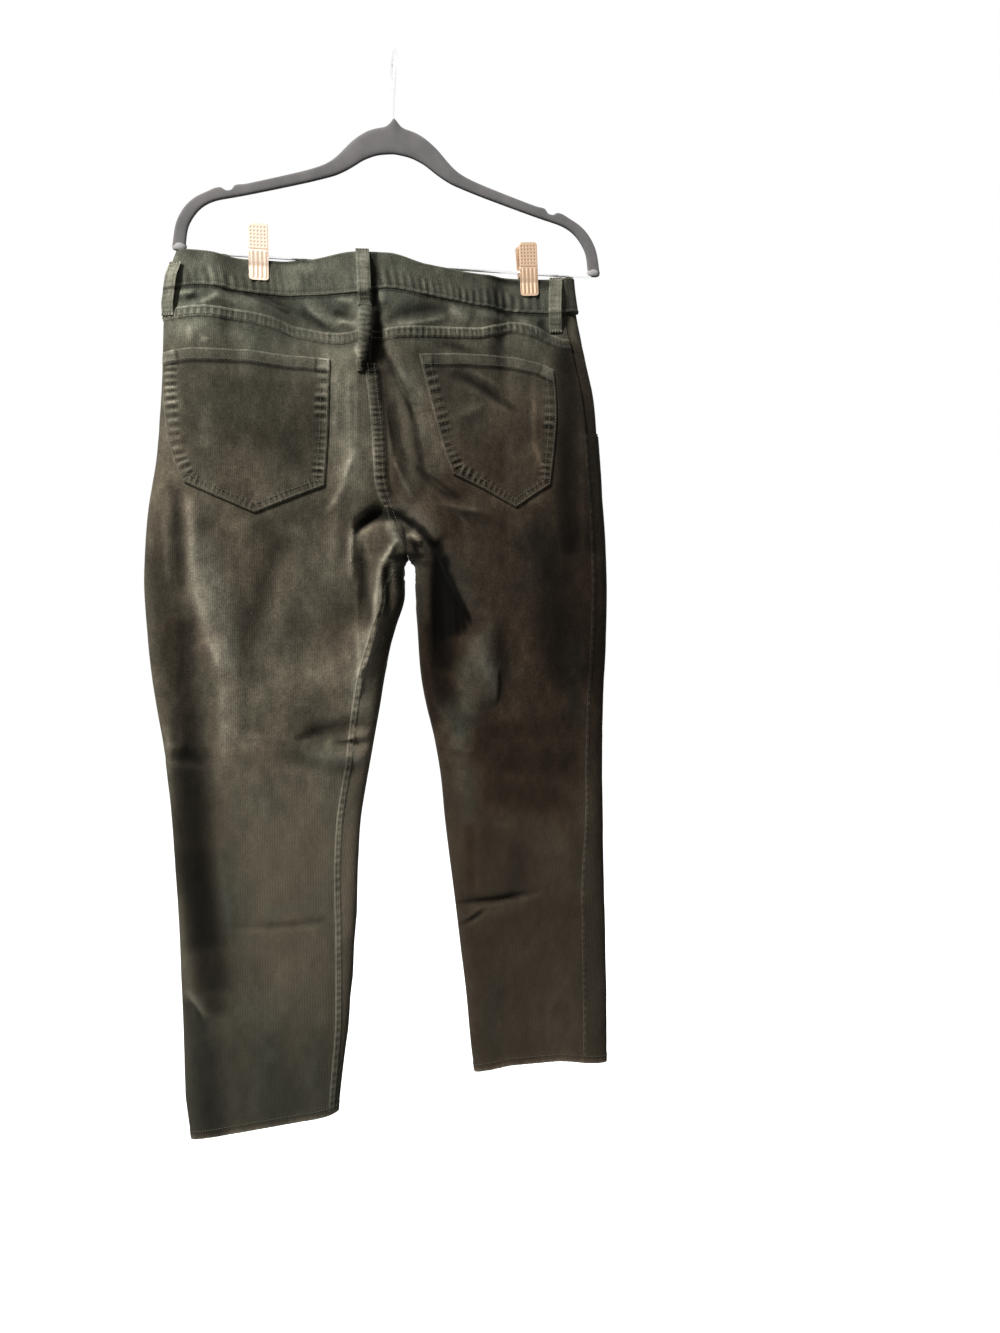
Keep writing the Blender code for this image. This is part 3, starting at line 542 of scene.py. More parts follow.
def yoke_seam(x, ring):
    """Drop of the seam between the yoke and the leg panel."""
    return along(x, YOKE, "drop")


def crotch_line(x, ring):
    return CROTCH + SEAM + 0 * x


def speed(side, ring, drop):
    """Millimetres along the cloth for one unit of ring."""
    step = cloth_point(side, ring + 0.002, drop) - cloth_point(side, ring - 0.002, drop)
    return np.linalg.norm(step, axis=-1) / 0.004


def seam_rings(side, toward, start_drop, end_drop):
    """Ring values of a panel's side seam and of its centre or inside leg seam.

    toward is BACK or FRONT: the way that the panel runs round from its side seam.
    """
    name = NAMES[side]
    start = ring_from_outer(side, along(start_drop, OUTSEAM, name), start_drop)
    slip = along(end_drop, INSEAM, name)
    outer, inner = widths(side, end_drop, BACK)
    turned = np.sign(slip) * np.arccos(1 - 2 * np.abs(slip / (inner - outer))) / np.pi
    in_leg = end_drop >= CROTCH
    end = toward - np.where(in_leg, turned, 0)
    start = start + toward * SEAM / speed(side, start, start_drop)
    end = end - toward * np.where(in_leg, SEAM / speed(side, end, end_drop), 0)
    return start, end

print("crotch at", cloth_point(LEFT, np.array(1.0), np.array(CROTCH)).round(1))

# %% [markdown]
# ## Creases too small for the solid
#
# The largest folds are in the tables above. Cords that have been worn keep many smaller ones: they run
# from the seams and the crotch, across the knees, and in a fine rumple all over. Each row of the next
# tables is one crease, drawn by its two ends as a tailor would chalk it, with a softer and a steeper
# side (lean). Creases on the front are in the same manner, because the front never shows together with
# the back.

# %% The creases
CREASE_NAMES = FOLD_NAMES + " lean"
BACK_CREASES = columns(
    CREASE_NAMES,
    # yoke, between the left side and the middle loop
    (-152, 43, -112, 60, 1, 6, 3, -0.75),
    (-97, 50, -62, 81, 3, 6, 2.6, 0.5),
    (-104, 60, -70, 82, 2, 5, -2.6, 0),
    (-200, 59, -180, 46, 0, 5, 2.2, 0),
    (-190, 52, -148, 58, -2, 7, 1.6, 0),
    (-222, 48, -204, 47, 2, 4, 1.6, 0),
    (-214, 55, -200, 52, 0, 4, -1.6, 0),
    (-67, 63, -50, 66, 0, 4, -2.6, 0),
    (-62, 48, -46, 53, 0, 4, 1.6, 0),
    (-64, 71, -42, 75, 0, 3, 1.6, 0),
    (-210, 78, -210, 100, 0, 4, 1.6, 0),
    (-200, 92, -192, 97, 0, 4, 1.4, 0),
    # gathered cloth under the middle loop
    (-35, 55, -36, 116, 0, 7, 5, -0.3),
    (-20, 60, -28, 118, 0, 5, -5, 0.3),
    (-45, 98, -36, 118, -2, 4, 2.4, 0.3),
    # yoke, right of the middle loop
    (-19, 38, -15, 60, 0, 4, 1.8, 0),
    (-10, 68, 48, 54, -3, 8, -3.4, 0.3),
    (-12, 74, 54, 60, 3, 5, 1.7, 0.2),
    (54, 52, 78, 66, 0, 8, 2.2, 0),
    (84, 54, 120, 60, 0, 7, 1.8, 0),
    (120, 50, 134, 60, 0, 3, -1.6, 0),
    (134, 52, 166, 72, 2, 5, 1.8, 0.3),
    (158, 56, 170, 74, 0, 5, -2.4, 0),
    (46, 89, 82, 96, 0, 5, -2, 0),
    # left seat
    (-52, 122, -50, 210, 0, 3, 1.4, 0.2),
    (-44, 124, -44, 206, 0, 3, 1.4, 0.2),
    (-44, 200, -58, 240, 2, 5, 2, 0.3),
    (-56, 234, -76, 268, -1, 5, 2, 0.3),
    (-62, 118, -66, 200, 0, 4, 0.9, 0),
    # crotch: the right seat laps over a knot of gathered seams
    (-12, 258, 42, 303, -2, 8, 4.8, 0.8),
    (-48, 289, -6, 263, -3, 6, -5, 0.2),
    (-6, 272, 4, 304, 0, 6, 4, 0),
    (7, 280, 8, 302, 0, 2.5, -1.6, 0),
    (12, 286, 24, 300, 0, 4, 3.2, 0),
    (-48, 274, -48, 344, 2, 4, 3, -0.4),
    (-45, 340, -41, 470, 0, 3, 1.3, 0),
    (-38, 288, -34, 384, 0, 5, -3, 0),
    (0, 294, -22, 350, 5, 4, 3.4, 0),
    (-22, 340, -28, 412, 0, 3.5, 2.2, 0),
    (-26, 404, -46, 446, -2, 3.5, 2, 0),
    (-10, 316, -2, 348, 0, 3.5, 2, 0),
    (-13, 322, -10, 372, 0, 4, -2.6, 0),
    # left thigh
    (-215, 250, -211, 346, 0, 7, 2.4, 0.3),
    (-211, 340, -198, 404, 0, 8, 2.6, 0.3),
    (-200, 396, -186, 440, 0, 8, 2.4, 0.3),
    (-186, 432, -188, 530, 0, 10, 2, 0.4),
    (-228, 244, -225, 360, 0, 6, -2.4, 0),
    (-222, 380, -216, 560, 0, 12, -3.2, 0),
    (-240, 270, -238, 350, 0, 4, 1.2, 0),
    (-70, 280, -72, 340, 0, 7, 1, 0),
    # left knee and below
    (-106, 511, -28, 500, -2, 5, -3, 0.6),
    (-80, 515, -26, 510, 0, 3.5, 2, -0.3),
    (-176, 506, -112, 514, 0, 4, 0.8, 0.3),
    (-150, 540, -60, 560, 3, 9, 0.8, 0),
    (-200, 722, -80, 724, 2, 3.5, -1, 0.4),
    (-238, 792, -213, 832, -2, 5, 2.4, 0.4),
    (-232, 806, -213, 850, -2, 6, -2, 0),
    # right seat
    (-18, 96, -6, 128, 1, 5, -2, 0),
    (-12, 100, 20, 164, 2, 8, 3.6, 0.8),
    (16, 156, 29, 220, 1, 8, 3, 0.8),
    (24, 212, 66, 250, 6, 7, 3.2, 0.7),
    (-16, 150, -6, 214, 0, 4, 2.2, 0),
    (-6, 208, 18, 256, 1, 4, 2.2, 0),
    (46, 255, 94, 264, 2, 4, 1.8, 0),
    (62, 264, 78, 282, 0, 3, 1, 0),
    (-2, 150, 12, 220, 1, 5, -2, 0),
    # the right pocket's own creases run on through the seat under it
    (58, 118, 126, 154, -2, 6, -2.8, 0.2),
    (70, 114, 120, 138, -2, 5, 1.6, -0.3),
    (150, 112, 150, 196, 0, 4, 1.6, 0),
    (62, 164, 96, 148, 2, 7, 1.4, 0),
    (148, 188, 166, 232, 0, 4, 1.8, 0),
    # right thigh and knee
    (38, 300, 82, 388, 0, 12, 3.8, 0.85),
    (42, 318, 52, 440, 0, 9, -4, 0),
    (26, 312, 31, 400, 0, 5, 1.5, 0),
    (113, 436, 112, 480, 0, 6, 1.8, -0.8),
    (36, 478, 52, 506, 0, 4, -2, 0),
    (52, 520, 90, 534, 3, 5, 1, 0),
    (70, 717, 172, 706, 4, 3.5, -2.2, 0.5),
    (74, 745, 102, 726, 0, 3.5, -2, 0.3),
    (76, 738, 98, 722, 0, 3, 1.4, 0),
    (170, 560, 224, 600, 3, 10, 0.8, 0),
    (120, 640, 220, 660, 4, 12, 0.6, 0),
)
FRONT_CREASES = columns(
    CREASE_NAMES,
    (2, 150, -60, 236, 6, 6, -1.8, 0.2),
    (16, 160, 80, 250, -6, 6, -1.8, 0.2),
    (4, 240, -40, 262, 3, 5, 1.6, 0.2),
    (20, 246, 64, 270, -3, 5, 1.6, 0.2),
    (-20, 286, -110, 306, 5, 6, 1.4, 0.3),
    (34, 288, 128, 310, -5, 6, 1.4, 0.3),
    (-70, 90, -160, 130, 5, 8, 0.9, 0),
    (70, 100, 150, 140, -5, 8, 0.9, 0),
    (-196, 500, -80, 508, 4, 5, -1.6, 0.3),
    (-186, 536, -64, 530, -4, 6, 1.2, 0),
    (92, 506, 206, 500, 4, 5, -1.6, 0.3),
    (84, 540, 196, 534, -4, 6, 1.2, 0),
    (-200, 556, -120, 566, 3, 6, -0.8, 0),
    (110, 560, 200, 552, 3, 6, -0.8, 0),
    (-204, 730, -70, 724, 3, 5, -0.8, 0),
    (90, 726, 226, 734, 3, 5, -0.8, 0),
    (-180, 380, -170, 470, 4, 9, 0.9, 0),
    (180, 390, 172, 480, -4, 9, 0.9, 0),
)
ROUND_CREASES = columns(  # round the outer edge, from the back to the front
    CREASE_NAMES,
    (-252, 530, -204, 538, 0, 4, -2.4, 0.4),
    (-250, 516, -226, 518, 0, 6, 1.4, 0),
)
CREASES = {BACK: BACK_CREASES, FRONT: FRONT_CREASES, 0: ROUND_CREASES}


def lattice(count, seed):
    return np.random.default_rng(seed).uniform(-1, 1, count)


def drift(x, drop, size, seed):
    """Smooth random relief from -1 to 1, its bumps as wide and as long as size says."""
    side_count, down_count = 97, 193
    table = lattice((side_count, down_count), seed)
    u, v = x / size[0] + 31.7, drop / size[1] + 11.3
    i, j = np.floor(u).astype(int), np.floor(v).astype(int)
    s, t = ease(u - i), ease(v - j)
    near, far = i % side_count, (i + 1) % side_count
    above, below = j % down_count, (j + 1) % down_count
    upper = table[near, above] * (1 - s) + table[far, above] * s
    lower = table[near, below] * (1 - s) + table[far, below] * s
    return upper * (1 - t) + lower * t


def ripple(run, pitch, seed):
    """Puckers along a seam: ridges and hollows in turn, uneven in height and spacing."""
    count = 997
    heights = np.abs(lattice(count, seed)) * 0.65 + 0.35
    at = run / (pitch / 2) + 1.1 * np.sin(run / (pitch * 3.1) + seed)
    i = np.floor(at).astype(int)
    t = ease(at - i)
    turn = 1 - 2 * (i % 2)
    return turn * (heights[i % count] * (1 - t) - heights[(i + 1) % count] * t)


def crease_lift(x, drop, face):
    return lifted(CREASES, x, drop, face, 2.5, 1.7)


print("creases", sum(len(rows_of(table)) for table in CREASES.values()))

# %% [markdown]
# ## One surface for everything
#
# A pocket lies on a leg panel and a seam's strip lies on both panels, so all of them must be made from
# the same surface: a point of the smooth cloth, moved out along its normal by the small creases, and
# then by the piece's own height.

# %% Lay points on the cloth
EDGE_FADE = 16.0  # length over which one face's own creases die away before a folded edge
PUCKER_REACH = 6.5  # how far a seam's puckers run into the panel beside it


def pull_at_seam(run, distance, pitch, rise, seed):
    """Puckers in the cloth beside a line of stitching."""
    return rise * ripple(run, pitch, seed) * bell(distance, PUCKER_REACH, 1)


def small_relief(side, ring, drop):
    """Height of creases, rumple and puckers over the smooth cloth."""
    ring = wrapped(ring)
    face = face_at(ring)
    outer, inner = widths(side, drop, face)
    share = share_across(ring)
    x = outer + (inner - outer) * share
    wide = np.abs(inner - outer)
    from_outer, from_inner = share * wide, (1 - share) * wide
    in_leg = ease((drop - CLEFT_TOP) / (CROTCH - CLEFT_TOP))
    calm = 1 - in_leg * (1 - ease(from_inner / EDGE_FADE))
    fade = ease(from_outer / EDGE_FADE) * calm
    both = crease_lift(x, drop, 0 * face)
    lift = both + (crease_lift(x, drop, face) - both) * fade
    unfolded = outer + (x - outer) * face
    worn_in = 0.55 + 0.45 * ease((drop - 330) / -200)
    rumple = 0.9 * drift(unfolded, drop, (46, 88), 3) + 0.42 * drift(unfolded, drop, (19, 37), 5)
    rumple = rumple * worn_in + 0.13 * drift(unfolded, drop, (7, 12), 7)
    lift = lift + rumple * calm
    at_yoke = pull_at_seam(x, drop - yoke_seam(x, ring), 7.5, 0.35, 11)
    at_waist = pull_at_seam(x, drop - band_seam(x, ring), 8.0, 0.35, 12)
    at_seat = pull_at_seam(drop, from_inner, 7.0, 0.4, 13) * (1 - in_leg)
    return lift + np.where(face == BACK, at_yoke, 0) + at_waist + np.where(drop < CROTCH, at_seat, 0)


def lay(side, ring, drop, out=0.0):
    """Points of the creased cloth moved out, and the cloth's normals there."""
    ring, drop = np.broadcast_arrays(ring, drop)
    face = cloth_point(side, ring, drop)
    normal = cloth_normal(side, ring, drop)
    lift = small_relief(side, ring, drop) + out
    return face + normal * lift[..., None], normal


# %% [markdown]
# ## From points to cloth
#
# A shell is two grids of points, the face of the cloth and its wrong side, joined along their rim, so it
# has a real thickness wherever an edge shows. Its UV map is in metres of cloth, measured from the middle
# of the piece, so that the cords run down the grain as on a cut panel and not along its sloping edges.
# Three attributes go with it: how much the pile is worn, how light it is (the pile's own tone with
# painted light and shade), and how brown it is.

# %% A shell of cloth


def metres(points):
    return (np.asarray(points) - (0, 0, HOOK_RISE)) * MM


def grid_mesh(name, outer, inner):
    """A closed wall between two grids of points in millimetres, its faces turned outwards."""
    rows, cols = outer.shape[:2]
    count = rows * cols
    points = metres(np.concatenate([outer.reshape(-1, 3), inner.reshape(-1, 3)]))
    grid = np.arange(count).reshape(rows, cols)
    cell = np.stack([grid[:-1, :-1], grid[:-1, 1:], grid[1:, 1:], grid[1:, :-1]], -1).reshape(-1, 4)
    rim = np.concatenate([grid[0, :], grid[1:, -1], grid[-1, -2::-1], grid[-2:0:-1, 0]])
    ahead = np.roll(rim, -1)
    border = np.stack([ahead, rim, rim + count, ahead + count], -1)
    faces = np.concatenate([cell, cell[:, ::-1] + count, border])
    p, q, r, s = (points[cell[:, k]] for k in range(4))
    facing = np.cross(r - p, s - q)
    wall = points[cell[:, 0]] - points[cell[:, 0] + count]
    if np.sum(facing * wall) < 0:
        faces = faces[:, ::-1]
    mesh = bpy.data.meshes.new(name)
    mesh.from_pydata(points, [], faces)
    return mesh


def finish_piece(name, mesh, finish, smooth_angle=50):
    made = bpy.data.objects.new(name, mesh)
    bpy.context.scene.collection.objects.link(made)
    mesh.materials.clear()
    mesh.materials.append(finish)
    mesh.shade_smooth()
    mesh.set_sharp_from_angle(angle=np.radians(smooth_angle))
    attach(made, "root")
    return made


def write_points(mesh, name, values):
    mesh.attributes.new(name, "FLOAT", "POINT").data.foreach_set("value", values.astype(np.float32))


def cloth_shell(name, outer, inner, finish, grain, worn=0.0, tone=0.0, warm=0.0):
    """A piece of cloth on two grids, with its UV map along the grain and its wear."""
    mesh = grid_mesh(name, outer, inner)
    rows, cols = outer.shape[:2]
    corner = np.zeros(len(mesh.loops), int)
    mesh.loops.foreach_get("vertex_index", corner)
    flat = (grain.reshape(-1, 2) * MM)[corner % (rows * cols)]
    mesh.uv_layers.new(name="cloth").data.foreach_set("uv", flat.astype(np.float32).ravel())
    for label, values in (("worn", worn), ("tone", tone), ("warm", warm)):
        values = np.broadcast_to(values, (rows, cols)).ravel()
        write_points(mesh, label, np.tile(values, 2))
    return finish_piece(name, mesh, finish)


def area_of(outer):
    """Area of a grid of points in millimetres, in square metres."""
    one, two = np.diff(outer, axis=1)[:-1], np.diff(outer, axis=0)[:, :-1]
    return float(np.linalg.norm(np.cross(one, two), axis=-1).sum()) * MM * MM


def declare(piece, cut):
    """State the cut that a sheet was made from: its width and length in millimetres."""
    print(f"{piece.name}: cut {cut[0]:.0f} x {cut[1]:.0f} mm, {len(piece.data.vertices)} points")


# %% [markdown]
# ## Where the cloth is dark, light, green or brown
#
# Corduroy is a pile: brushed up it drinks light, brushed down or rubbed it shines. So one dyed cloth is
# near black in one place and grey-green in another, in soft clouds and streaks down the leg. They are
# put on one by one, each row a smudge along a line, as one would shade a drawing with the side of a
# pencil. Tone is how light it is (below zero is darker), warm is how brown.
# Many smudges are painted light: painted shadow in deep creases, in the crotch and under the gathers, and
# painted highlights on ridges.

# %% Smudges of pile tone, painted light and painted shade
NAP_AND_PAINTED_LIGHT = columns(
    "x0 drop0 x1 drop1 wide tone warm",
    # waistband: painted shadow beside its loops and under its curled top edge
    (-216, 6, -206, 10, 6, -0.45, 0),
    (-215, 30, -170, 28, 16, 0.3, 0),
    (-202, 22, -188, 4, 6, 0.3, 0),
    (-172, 14, -156, 34, 9, -0.5, 0),
    (-132, 10, -98, 11, 2.4, -1.2, 0),
    (-98, 18, -76, 18, 5, 0.25, 0),
    (-24, -2, -24, 50, 3.2, -1.6, 0),
    (102, 15, 134, 17, 3, -1.2, 0),
    (156, 12, 166, 16, 5, -0.9, 0),
    (188, 16, 190, 76, 3, -0.7, 0),
    # left yoke: painted shadow in its creases and painted highlights on its ridges
    (-150, 45, -116, 60, 2.6, -1.5, 0),
    (-124, 53, -104, 62, 6, -0.75, 0),
    (-98, 63, -70, 78, 5, -0.7, 0),
    (-84, 54, -60, 77, 4.5, 0.2, 0),
    (-198, 58, -182, 47, 4, 0.35, 0),
    (-176, 49, -146, 58, 7, 0.2, 0),
    (-216, 54, -200, 51, 3, -0.4, 0),
    (-225, 49, -208, 46, 3, 0.4, 0),
    (-67, 63, -52, 65, 4.5, -0.5, 0),
    (-60, 48, -46, 52, 4, 0.4, 0),
    (-62, 72, -42, 75, 3, 0.3, 0),
    (-180, 77, -120, 82, 5, -0.25, 0),
    (-210, 80, -210, 97, 3.5, 0.3, 0),
    (-200, 94, -192, 97, 4, 0.3, 0),
    (-222, 74, -166, 78, 24, 0.55, 0),
    (-118, 67, -84, 75, 12, -0.6, 0),
    (-130, 54, -60, 60, 10, -0.45, 0),
    # gathered cloth under the middle loop: painted shadow, with a painted highlight on its left
    (-21, 58, -22, 76, 4, -1.8, 0),
    (-21, 76, -24, 94, 6.5, -2.4, 0),
    (-25, 96, -30, 114, 6.5, -2.4, 0),
    (-44, 100, -38, 115, 2.5, 0.45, 0),
    # right yoke
    (10, 61, 46, 53, 7.5, -1, 0),
    (-8, 67, 10, 56, 6, -0.6, 0),
    (-18, 42, -14, 64, 4, 0.25, 0),
    (-10, 73, 28, 67, 3.5, 0.15, 0),
    (40, 64, 54, 57, 3.5, 0.2, 0),
    (56, 54, 72, 62, 9, 0.3, 0),
    (70, 72, 130, 70, 14, 0.3, 0.1),
    (46, 90, 80, 96, 4.5, -0.5, 0.1),
    (160, 58, 170, 78, 6, -0.6, 0),
    # left seat and pocket
    (-52, 124, -50, 206, 5, 0.25, 0),
    (-44, 126, -44, 206, 4, 0.25, 0),
    (-62, 108, -58, 225, 20, 0.76, -0.1),
    (-46, 208, -58, 238, 6, 0.3, 0),
    (-58, 240, -73, 264, 6, 0.3, 0),
    (-146, 160, -110, 190, 46, -0.74, 0),
    (-190, 124, -90, 126, 9, 0.25, 0),
    (-200, 160, -196, 196, 8, 0.2, 0),
    # crotch: painted shadow under the lapped right seat, painted highlights on the knot of seams
    (-43, 286, -35, 278, 2.2, -2.2, 0),
    (-35, 277, -26, 271, 4.5, -2.4, 0),
    (-26, 270, 0, 269, 6, -2.4, 0),
    (2, 270, 14, 277, 4, -2.2, 0),
    (14, 277, 26, 286, 2.8, -2.2, 0),
    (26, 287, 40, 303, 4, -2.4, 0),
    (-9, 281, 2, 301, 8, 0.85, -0.1),
    (3, 276, 6, 288, 1.3, -0.7, 0),
    (6, 288, 9, 302, 1.3, -0.8, 0),
    (11, 291, 19, 291, 3, 0.9, 0),
    (21, 292, 25, 304, 3, 0.8, 0),
    (18, 302, 20, 307, 2.6, -1.8, 0),
    (0, 315, 20, 313, 4, -2.2, 0),
    (-49, 278, -50, 300, 3, 0.35, 0),
    (-49, 300, -45, 342, 2.5, 0.25, 0),
    (-44, 342, -41, 470, 3, 0.2, 0),
    (-36, 326, -33, 380, 6, -0.7, 0),
    (-5, 300, -18, 322, 4, 0.35, 0),
    (-18, 322, -24, 360, 4, 0.3, 0),
    (-24, 360, -27, 408, 4, 0.2, 0),
    (-27, 410, -45, 444, 3, 0.2, 0),
    (-8, 308, -2, 346, 4, 0.8, 0),
    (-14, 326, -12, 372, 3.5, -1.3, 0),
    (3, 334, 4, 380, 5, -1.3, 0),
    (-6, 384, -20, 480, 7, -0.65, 0),
    # left thigh
    (-216, 262, -212, 340, 8, 0.35, 0.05),
    (-208, 350, -200, 400, 11, 0.4, 0.05),
    (-198, 402, -186, 432, 12, 0.42, 0.05),
    (-186, 442, -188, 520, 15, 0.35, 0.05),
    (-229, 248, -226, 340, 6, -0.6, 0),
    (-240, 280, -238, 330, 5, 0.2, 0),
    (-246, 320, -240, 420, 16, -0.75, 0.1),
    (-234, 390, -226, 500, 19, -1.1, 0.1),
    (-224, 490, -222, 560, 20, -1.4, 0),
    (-247, 500, -244, 570, 4, 0.4, 0),
    (-150, 290, -85, 264, 14, -0.45, 0),
    (-156, 325, -122, 302, 14, -0.35, 0.05),
    (-164, 330, -155, 430, 20, -0.25, 0),
    (-72, 285, -70, 330, 8, 0.3, 0),
    (-125, 448, -88, 446, 24, 0.42, 0),
    (-130, 490, -122, 515, 15, 0.25, 0),
    (-190, 516, -142, 518, 12, 0.25, 0),
    (-60, 440, -54, 470, 12, 0.2, 0),
    (-90, 501, -36, 490, 9, -0.5, 0),
    (-104, 510, -62, 505, 3.5, -0.9, 0),
    (-60, 504, -28, 498, 4, -0.7, 0.1),
    (-56, 513, -28, 511, 1.8, 0.5, 0.1),
    (-108, 530, -55, 541, 12, -0.4, -0.1),
    # left leg below the knee
    (-224, 535, -222, 640, 21, -1.8, 0),
    (-222, 640, -213, 735, 21, -2.1, 0),
    (-212, 730, -208, 785, 18, -1.5, 0),
    (-210, 780, -206, 812, 13, -1.05, 0),
    (-190, 640, -186, 724, 10, -0.35, -0.2),
    (-240, 690, -234, 790, 6, 0.35, 0),
    (-230, 796, -214, 829, 4, 0.15, 0),
    (-236, 812, -218, 852, 6, -0.7, -0.1),
    (-222, 830, -214, 960, 17, -0.85, -0.1),
    (-190, 540, -184, 592, 10, 0.3, 0),
    (-126, 590, -122, 800, 60, 0.26, 0.05),
    (-140, 707, -122, 704, 6, 0.2, -0.2),
    (-140, 724, -90, 720, 5, -0.3, 0),
    (-65, 560, -66, 715, 4.5, 0.35, 0.1),
    (-40, 400, -38, 540, 16, 0.6, -0.05),
    (-40, 540, -60, 740, 14, 0.7, 0.1),
    (-60, 740, -74, 940, 11, 0.4, 0),
    (-72, 738, -76, 790, 4, 0.2, 0),
    (-160, 880, -110, 930, 50, -0.12, -0.15),
    (198, 860, 206, 980, 26, 0.16, 0),
    # right seat
    (-13, 102, 8, 142, 2.6, -1.2, 0),
    (8, 144, 19, 176, 2.6, -1.1, 0),
    (19, 178, 27, 220, 3, -0.9, 0),
    (27, 222, 60, 246, 3, -1, 0),
    (18, 122, 42, 216, 12, 0.7, -0.1),
    (-4, 236, 30, 262, 15, 0.4, 0),
    (-5, 160, 6, 215, 5, -0.2, 0),
    (2, 124, 14, 236, 11, 0.45, -0.1),
    (-15, 160, -4, 212, 4, 0.3, 0),
    (-2, 218, 17, 260, 3, 0.35, 0),
    (48, 257, 92, 263, 3.5, 0.2, 0),
    (63, 265, 77, 281, 1.5, 0.25, 0),
    (66, 268, 112, 276, 7, -0.45, 0),
    (112, 266, 166, 262, 9, -0.35, 0.1),
    (187, 92, 191, 300, 15, -1.8, 0.1),
    (206, 110, 216, 300, 10, -1, 0.15),
    (60, 122, 90, 132, 5, -0.55, 0),
    (90, 133, 124, 151, 4.5, -0.65, 0),
    (60, 166, 100, 152, 9, 0.3, 0),
    (150, 118, 150, 196, 4, 0.12, 0.1),
    (152, 200, 164, 232, 4, 0.12, 0.1),
    (100, 215, 130, 235, 20, -0.2, 0),
    # right thigh: painted shadow in the fold under the seat, and lighter patches below it
    (43, 306, 44, 400, 6, -3.2, 0),
    (40, 303, 76, 378, 3, -3, 0),
    (48, 320, 50, 400, 7, -3.6, 0),
    (55, 340, 57, 396, 6, -3, 0),
    (63, 358, 65, 392, 5, -3, 0),
    (70, 370, 72, 388, 4, -2.6, 0),
    (46, 396, 50, 430, 15, -2.2, 0.1),
    (46, 430, 50, 468, 12, -1.3, 0.2),
    (34, 468, 38, 486, 6, -0.7, 0.1),
    (27, 312, 28, 380, 5, -0.25, -0.2),
    (24, 390, 38, 500, 7, -0.6, 0.1),
    (88, 412, 96, 440, 16, 0.9, -0.35),
    (72, 436, 80, 484, 15, 0.72, -0.45),
    (106, 436, 106, 478, 9, 0.7, -0.35),
    (56, 480, 74, 508, 14, 0.5, -0.45),
    (130, 416, 134, 440, 8, 0.25, -0.1),
    (172, 300, 204, 430, 36, -0.96, 0.05),
    (200, 420, 207, 500, 12, -0.5, -0.3),
    (216, 330, 226, 470, 12, -0.2, 0.3),
    # right leg
    (120, 514, 194, 508, 17, -0.62, 0.2),
    (122, 540, 186, 548, 26, -0.7, 0.2),
    (120, 582, 174, 590, 20, -0.55, 0.2),
    (66, 510, 82, 612, 12, 0.4, -0.3),
    (84, 560, 86, 596, 7, 0.25, -0.2),
    (222, 540, 226, 700, 9, 0.35, -0.2),
    (216, 700, 218, 716, 7, 0.25, -0.1),
    (140, 650, 140, 692, 12, -0.3, 0),
    (180, 640, 190, 700, 20, 0.2, -0.1),
    (82, 626, 84, 692, 6, -0.3, 0.2),
    (96, 760, 110, 960, 16, -0.25, 0),
    (75, 715, 142, 708, 2.2, -0.6, 0),
    (75, 742, 99, 727, 2.2, -0.6, 0),
)

# How dark and how brown each leg is down its length, before any smudge. The tone columns are partly the
# pile's own tone and partly painted light: painted shade over the right leg, away from the lamp, and
# painted light over the left leg's thigh and knee.
GROUND_AND_PAINTED_LIGHT = columns(
    "drop left_tone right_tone left_warm right_warm",
    (40, 0.14, 0.16, 0.08, 0.1),
    (75, 0.08, 0.08, 0.12, 0.24),
    (120, 0.08, -0.25, 0.34, 0.45),
    (200, 0.14, -0.38, 0.42, 0.62),
    (330, 0.2, -0.79, 0.46, 0.8),
    (450, 0.24, -0.88, 0.44, 0.9),
    (560, 0.28, -0.57, 0.42, 0.86),
    (700, 0.24, -0.42, 0.42, 0.74),
    (830, 0.1, -0.24, 0.4, 0.66),
    (960, -0.12, -0.1, 0.36, 0.62),
)


def smudges(x, drop, face):
    """Tone and warmth at a point, of the pile and of painted light and shade. Where smudges overlap, the
    strongest shows.
    """
    lightest, darkest, warm = np.zeros(x.shape), np.zeros(x.shape), np.zeros(x.shape)
    for row in rows_of(NAP_AND_PAINTED_LIGHT):
        ahead, aside, length = beside(row, x, drop)
        past_end = np.maximum(np.maximum(-ahead, ahead - length), 0) * np.clip(row["wide"] / 9, 0.35, 1)
        share = np.where(face == BACK, bell(np.hypot(aside, past_end), row["wide"], 2.5), 0)
        lightest = np.maximum(lightest, row["tone"] * share)
        darkest = np.minimum(darkest, row["tone"] * share)
        warm = warm + row["warm"] * share
    return lightest + darkest, warm


# painted highlight on the crests of the small relief and painted shade in its hollows, per millimetre
CREST_PAINTED_LIGHT = 0.33  # how much lighter a millimetre of rise makes the pile


